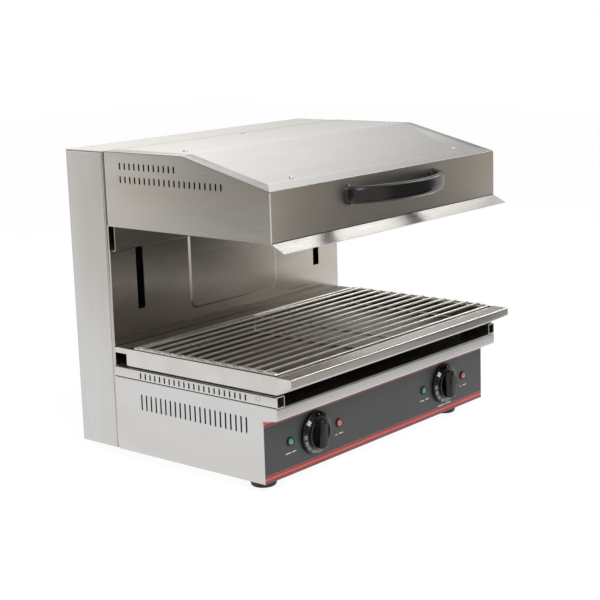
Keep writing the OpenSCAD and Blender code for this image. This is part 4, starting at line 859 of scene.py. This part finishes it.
def figure(words, tall):
    """A number as a thin mesh round the origin, upright in X and Y, with its face up."""
    select_none()
    bpy.ops.object.text_add()
    piece = bpy.context.object
    piece.data.body = words
    piece.data.size = tall
    piece.data.align_x = "CENTER"
    piece.data.align_y = "CENTER"
    piece.data.extrude = ink_height / 2
    piece.data.offset = stroke_boldness
    piece.data.resolution_u = 4
    bpy.ops.object.convert(target="MESH")
    only(piece)
    bpy.ops.object.mode_set(mode="EDIT")
    bpy.ops.mesh.select_all(action="SELECT")
    bpy.ops.mesh.remove_doubles(threshold=0.001 * mm)
    bpy.ops.mesh.normals_make_consistent(inside=False)
    bpy.ops.object.mode_set(mode="OBJECT")
    return piece


def gather(name, pieces, finish, body):
    """Joins pieces whose places are in their meshes into one, and hangs it on a body."""
    select_none()
    for piece in pieces:
        piece.select_set(True)
    bpy.context.view_layer.objects.active = pieces[0]
    bpy.ops.object.join()
    hang(pieces[0], name, finish, body)


print("ink is", ink_height, "m thick")

# %% [markdown]
# ## Bars on the panel
# Each bar stands where a short caption would be.  It is made lying down, so a
# matrix called facing stands it up with its face to the front, and a move
# carries it to the skin.  All bars are then joined, because they never move
# against each other.

# %% Bars on the panel
facing = Matrix(((1, 0, 0), (0, 0, -1), (0, 1, 0))).to_4x4()
base_line = skin_low.z + 2.5 * mm
bar_corner = 0.5 * mm
# Each bar: its place across and above the base line, its width and its height, in mm.
caption_bars = [
    (-246.6, 34.0, 12.5, 1.9), (-232.3, 34.2, 10.5, 1.7), (-126.0, 34.0, 5.0, 1.7),
    (-114.0, 34.3, 11.0, 1.7), (115.6, 34.0, 12.0, 1.9), (130.2, 34.4, 10.0, 1.7),
    (235.2, 33.8, 4.6, 1.7), (247.6, 34.1, 11.0, 1.7), (173.0, 12.4, 21.0, 2.1),
    (194.6, 12.7, 18.0, 2.1),
]
bars = []
for across, up, width, tall in caption_bars:
    piece = bar(width * mm, tall * mm, bar_corner)
    place = (across * mm, skin_low.y, base_line + up * mm)
    piece.data.transform(Matrix.Translation(place) @ facing)
    bars.append(piece)
gather("panel_marks", bars, ink_white, "cabinet")
print("printed bars on the panel:", len(caption_bars))

# %% [markdown]
# ## Figures and marks on the knobs
# Each knob carries temperature figures on its sloping face, two squares at
# its zero and two thin white bars.  Wrapping them by a modifier would bend them,
# so each mark is carried to the cone by one matrix: tipped by the slope, moved
# out to the middle of the cone, and turned to its place on the clock.

# %% The knob's cone
skirt_r, ring_r = 35.5 * mm, 25.0 * mm
skirt_top, face_top = 4.3 * mm, 7.8 * mm
slope = math.atan2(face_top - skirt_top, skirt_r - ring_r)
middle_r = 30.4 * mm
middle_h = face_top - (middle_r - ring_r) * math.tan(slope)


def on_cone(piece, knob_centre, clock):
    """Carries a flat mark to the sloping face of a knob, at an angle clockwise from the top."""
    turn = Matrix.Rotation(math.radians(-clock), 4, "Z")
    out = Matrix.Translation((0, middle_r, middle_h))
    tip = Matrix.Rotation(-slope, 4, "X")
    piece.data.transform(Matrix.Translation(knob_centre) @ facing @ turn @ out @ tip)
    return piece


print("the knob's face slopes by", round(math.degrees(slope), 1), "degrees")

# %% Figures and marks on both knobs
figure_tall = 7.2 * mm
scale_figures = [("50", 268), ("100", 246), ("150", 224), ("200", 202), ("250", 180), ("300", 158)]
# Each mark: width, height and corner in mm, and its angles on the clock.
knob_marks = [(3.6, 6.6, 0.3, (309.5, 317.5)), (0.7, 3.0, 0.2, (6, 150))]
for side in ("left", "right"):
    knob = "knob_" + side
    low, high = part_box(knob)
    centre = Vector(((low.x + high.x) / 2, high.y, (low.z + high.z) / 2))
    figures = [on_cone(figure(words, figure_tall), centre, clock)
               for words, clock in scale_figures]
    gather("knob_figures_" + side, figures, ink_grey, knob)
    marks = [on_cone(bar(width * mm, tall * mm, corner * mm), centre, clock)
             for width, tall, corner, clocks in knob_marks for clock in clocks]
    gather("knob_marks_" + side, marks, ink_white, knob)
print("figures on each knob:", len(scale_figures))

# %% [markdown]
# ## Floor
# The machine stands on a pale sheet of paper in a soft studio.  More light
# would make the paper white but would bleach the steel, so the paper glows a
# little, and only for rays that look at it: from the camera, from gloss and
# through glass.  A part of it stays plain paper, which keeps the shadow.

# %% Helpers for floor and world
seeing_rays = ("Is Camera Ray", "Is Glossy Ray", "Is Transmission Ray")


def looked_at(nodes):
    """1 where the ray is one that looks, and 0 where it only lights."""
    path = nodes.add("ShaderNodeLightPath")
    total = 0.0
    for kind in seeing_rays:
        total = nodes.calc("MAXIMUM", total, path.outputs[kind])
    return total


def bare_material(name):
    """A new material with no shader yet, its nodes, and the socket that takes the shader."""
    material = bpy.data.materials.new(name)
    material.use_nodes = True
    nodes = Nodes(material.node_tree)
    nodes.tree.nodes.remove(nodes.tree.nodes["Principled BSDF"])
    return material, nodes, nodes.tree.nodes["Material Output"].inputs["Surface"]


print("rays that look:", seeing_rays)

# %% Paper that glows for the rays that look
paper_white, glow_level, glow_part = (0.9, 0.9, 0.9, 1), 1.12, 0.8
floor_material, floor_nodes, floor_surface = bare_material("floor_white")
paper = floor_nodes.add("ShaderNodeBsdfDiffuse")
paper.inputs["Color"].default_value = paper_white
glow = floor_nodes.add("ShaderNodeEmission")
glow.inputs["Strength"].default_value = glow_level
glow_share = floor_nodes.calc("MULTIPLY", looked_at(floor_nodes), glow_part)
floor_mix = floor_nodes.add("ShaderNodeMixShader")
for socket, source in enumerate((glow_share, paper.outputs[0], glow.outputs[0])):
    floor_nodes.feed(source, floor_mix.inputs[socket])
floor_nodes.feed(floor_mix.outputs[0], floor_surface)

select_none()
bpy.ops.mesh.primitive_plane_add(size=12, location=(0, 0, 0))
floor = bpy.context.object
floor.name = "floor"
floor.data.materials.append(floor_material)
print("floor:", floor.dimensions.x, "m wide")

# %% [markdown]
# ## World
# The room round the machine is white to whatever looks at it, and gives half
# that light to the object, which is the soft fill from all sides.  One
# strength for both would either grey the background or bleach the steel.

# %% World
fill_light, seen_white = 0.5, 1.0
world = bpy.data.worlds.new("studio")
bpy.context.scene.world = world
world.use_nodes = True
sky = Nodes(world.node_tree)
background = sky.tree.nodes["Background"]
background.inputs["Color"].default_value = (1, 1, 1, 1)
level = sky.spread(looked_at(sky), 0, 1, fill_light, seen_white)
sky.feed(level, background.inputs["Strength"])
print("world light", fill_light, "and seen as", seen_white)

# %% [markdown]
# ## Cards round the machine
# Steel shows what stands round it, and in an all-white room it would look
# like white plastic.  A studio sets up grey and dark cards, which give each
# sheet its tone and its gradient.  These cards are seen by reflections only,
# cast no shadow, and change their brightness along their length.


# %% Helper for cards
def card(name, corner, along, tall, levels, tint):
    """An upright card; levels are pairs of a place along it, in metres, and a brightness."""
    corner, along, up = Vector(corner), Vector(along), Vector((0, 0, tall))
    mesh = bpy.data.meshes.new(name)
    corners = [corner, corner + along, corner + along + up, corner + up]
    mesh.from_pydata(corners, [], [(0, 1, 2, 3)])
    piece = bpy.data.objects.new(name, mesh)
    bpy.context.scene.collection.objects.link(piece)
    material, nodes, surface = bare_material(name)
    mesh.materials.append(material)
    split = nodes.add("ShaderNodeSeparateXYZ")
    nodes.feed(nodes.add("ShaderNodeTexCoord").outputs["Object"], split.inputs[0])
    main = 0 if abs(along.x) > abs(along.y) else 1  # the axis that the card mostly runs along
    share = nodes.rise(split.outputs[main], corner[main], corner[main] + along[main])
    ramp = nodes.add("ShaderNodeValToRGB")
    nodes.feed(share, ramp.inputs["Fac"])
    stops = ramp.color_ramp.elements
    while len(stops) < len(levels):
        stops.new(0.5)
    for stop, (place, brightness) in zip(stops, levels):
        stop.position = place / along.length
        stop.color = (*shade(tint, brightness), 1)
    light = nodes.add("ShaderNodeEmission")
    nodes.feed(ramp.outputs["Color"], light.inputs["Color"])
    nodes.feed(light.outputs[0], surface)
    for kind in ("camera", "diffuse", "transmission", "volume_scatter", "shadow"):
        setattr(piece, "visible_" + kind, False)


print("card helper ready")

# %% Cards in front, one above the other
warm_grey = (1.0, 0.94, 0.86)
warm_brown = (1.0, 0.92, 0.80)
front_start, front_y, front_run = -0.3, -0.54, (1.5, 0, 0)
front_cards = [
    ("front_card_low", 0.0, 0.15, warm_grey,
     [(0.0, 0.3), (0.3, 0.4), (0.6, 0.42), (0.8, 0.2), (0.9, 0.08), (1.05, 0.12), (1.25, 0.8),
      (1.4, 1.0)]),
    ("front_card_middle", 0.15, 0.12, warm_grey,
     [(0.0, 1.0), (0.27, 1.0), (0.36, 0.3), (0.48, 0.01), (1.0, 0.01), (1.1, 0.3), (1.2, 0.8),
      (1.35, 1.0)]),
    ("front_card_high", 0.27, 0.55, warm_brown,
     [(0.0, 1.1), (0.24, 1.0), (0.36, 0.34), (0.5, 0.26), (0.72, 0.2), (0.9, 0.22), (1.2, 0.6),
      (1.4, 1.0)]),
]
for name, lower_edge, tall, tint, levels in front_cards:
    card(name, (front_start, front_y, lower_edge), front_run, tall, levels, tint)
print("cards in front:", len(front_cards))

# %% Cards on the left and behind
pale = (1.0, 0.99, 0.97)
rear_run = (2.2, -1.57, 0)
card("left_card", (-1.3, -0.6, 0.07), (0, 1.9, 0), 1.1,
     [(0.0, 0.35), (1.0, 0.35), (1.2, 0.3), (1.36, 0.12), (1.48, 0.12), (1.62, 0.6), (1.8, 0.9)],
     warm_brown)
card("rear_card", (0.35, 1.9, 0.75), rear_run, 1.7,
     [(0.0, 1.6), (0.9, 1.5), (1.5, 1.1), (2.0, 0.55), (2.7, 0.4)], pale)
card("low_card", (0.35, 1.9, 0.0), rear_run, 0.75,
     [(0.0, 0.5), (0.7, 0.45), (1.4, 0.36), (2.7, 0.3)], warm_grey)

# %% [markdown]
# ## Lamps
# One large softbox at the left front is the main light.  A small one and a
# long strip stand at the right, where the deflector and the handle mirror
# them.  The strip is slanted, so that it draws the bright line along the
# handle's upper edge; a round lamp would only make a spot there.


# %% Lamps
def softbox(name, place, aim, size, power):
    """A square area lamp that looks at a point."""
    data = bpy.data.lights.new(name, "AREA")
    data.energy = power
    data.size = size
    lamp = bpy.data.objects.new(name, data)
    bpy.context.scene.collection.objects.link(lamp)
    lamp.location = place
    lamp.rotation_euler = (Vector(aim) - Vector(place)).to_track_quat("-Z", "Y").to_euler()
    return lamp


softbox("key_softbox", (-1.2, -1.6, 2.0), (0, 0, 0.2), size=1.4, power=22)
softbox("small_softbox", (1.5, -0.7, 1.62), (0, -0.3, 0.4), size=0.55, power=2.4)
print("softboxes:", len(bpy.data.lights))

# %% Slanted strip
strip_place, strip_aim = Vector((1.43, -0.5, 1.63)), Vector((0.1, -0.28, 0.44))
strip = softbox("strip_softbox", strip_place, strip_aim, size=1.84, power=5.0)
strip.data.shape = "RECTANGLE"
strip.data.size_y = 0.12
strip_slant = Vector((1.14, 1.0, -1.02))
strip_back = (strip_place - strip_aim).normalized()
strip_side = strip_back.cross(strip_slant).normalized()
strip_turn = Matrix((strip_side.cross(strip_back), strip_side, strip_back)).transposed()
strip.rotation_euler = strip_turn.to_euler()
print("lamps:", len(bpy.data.lights))
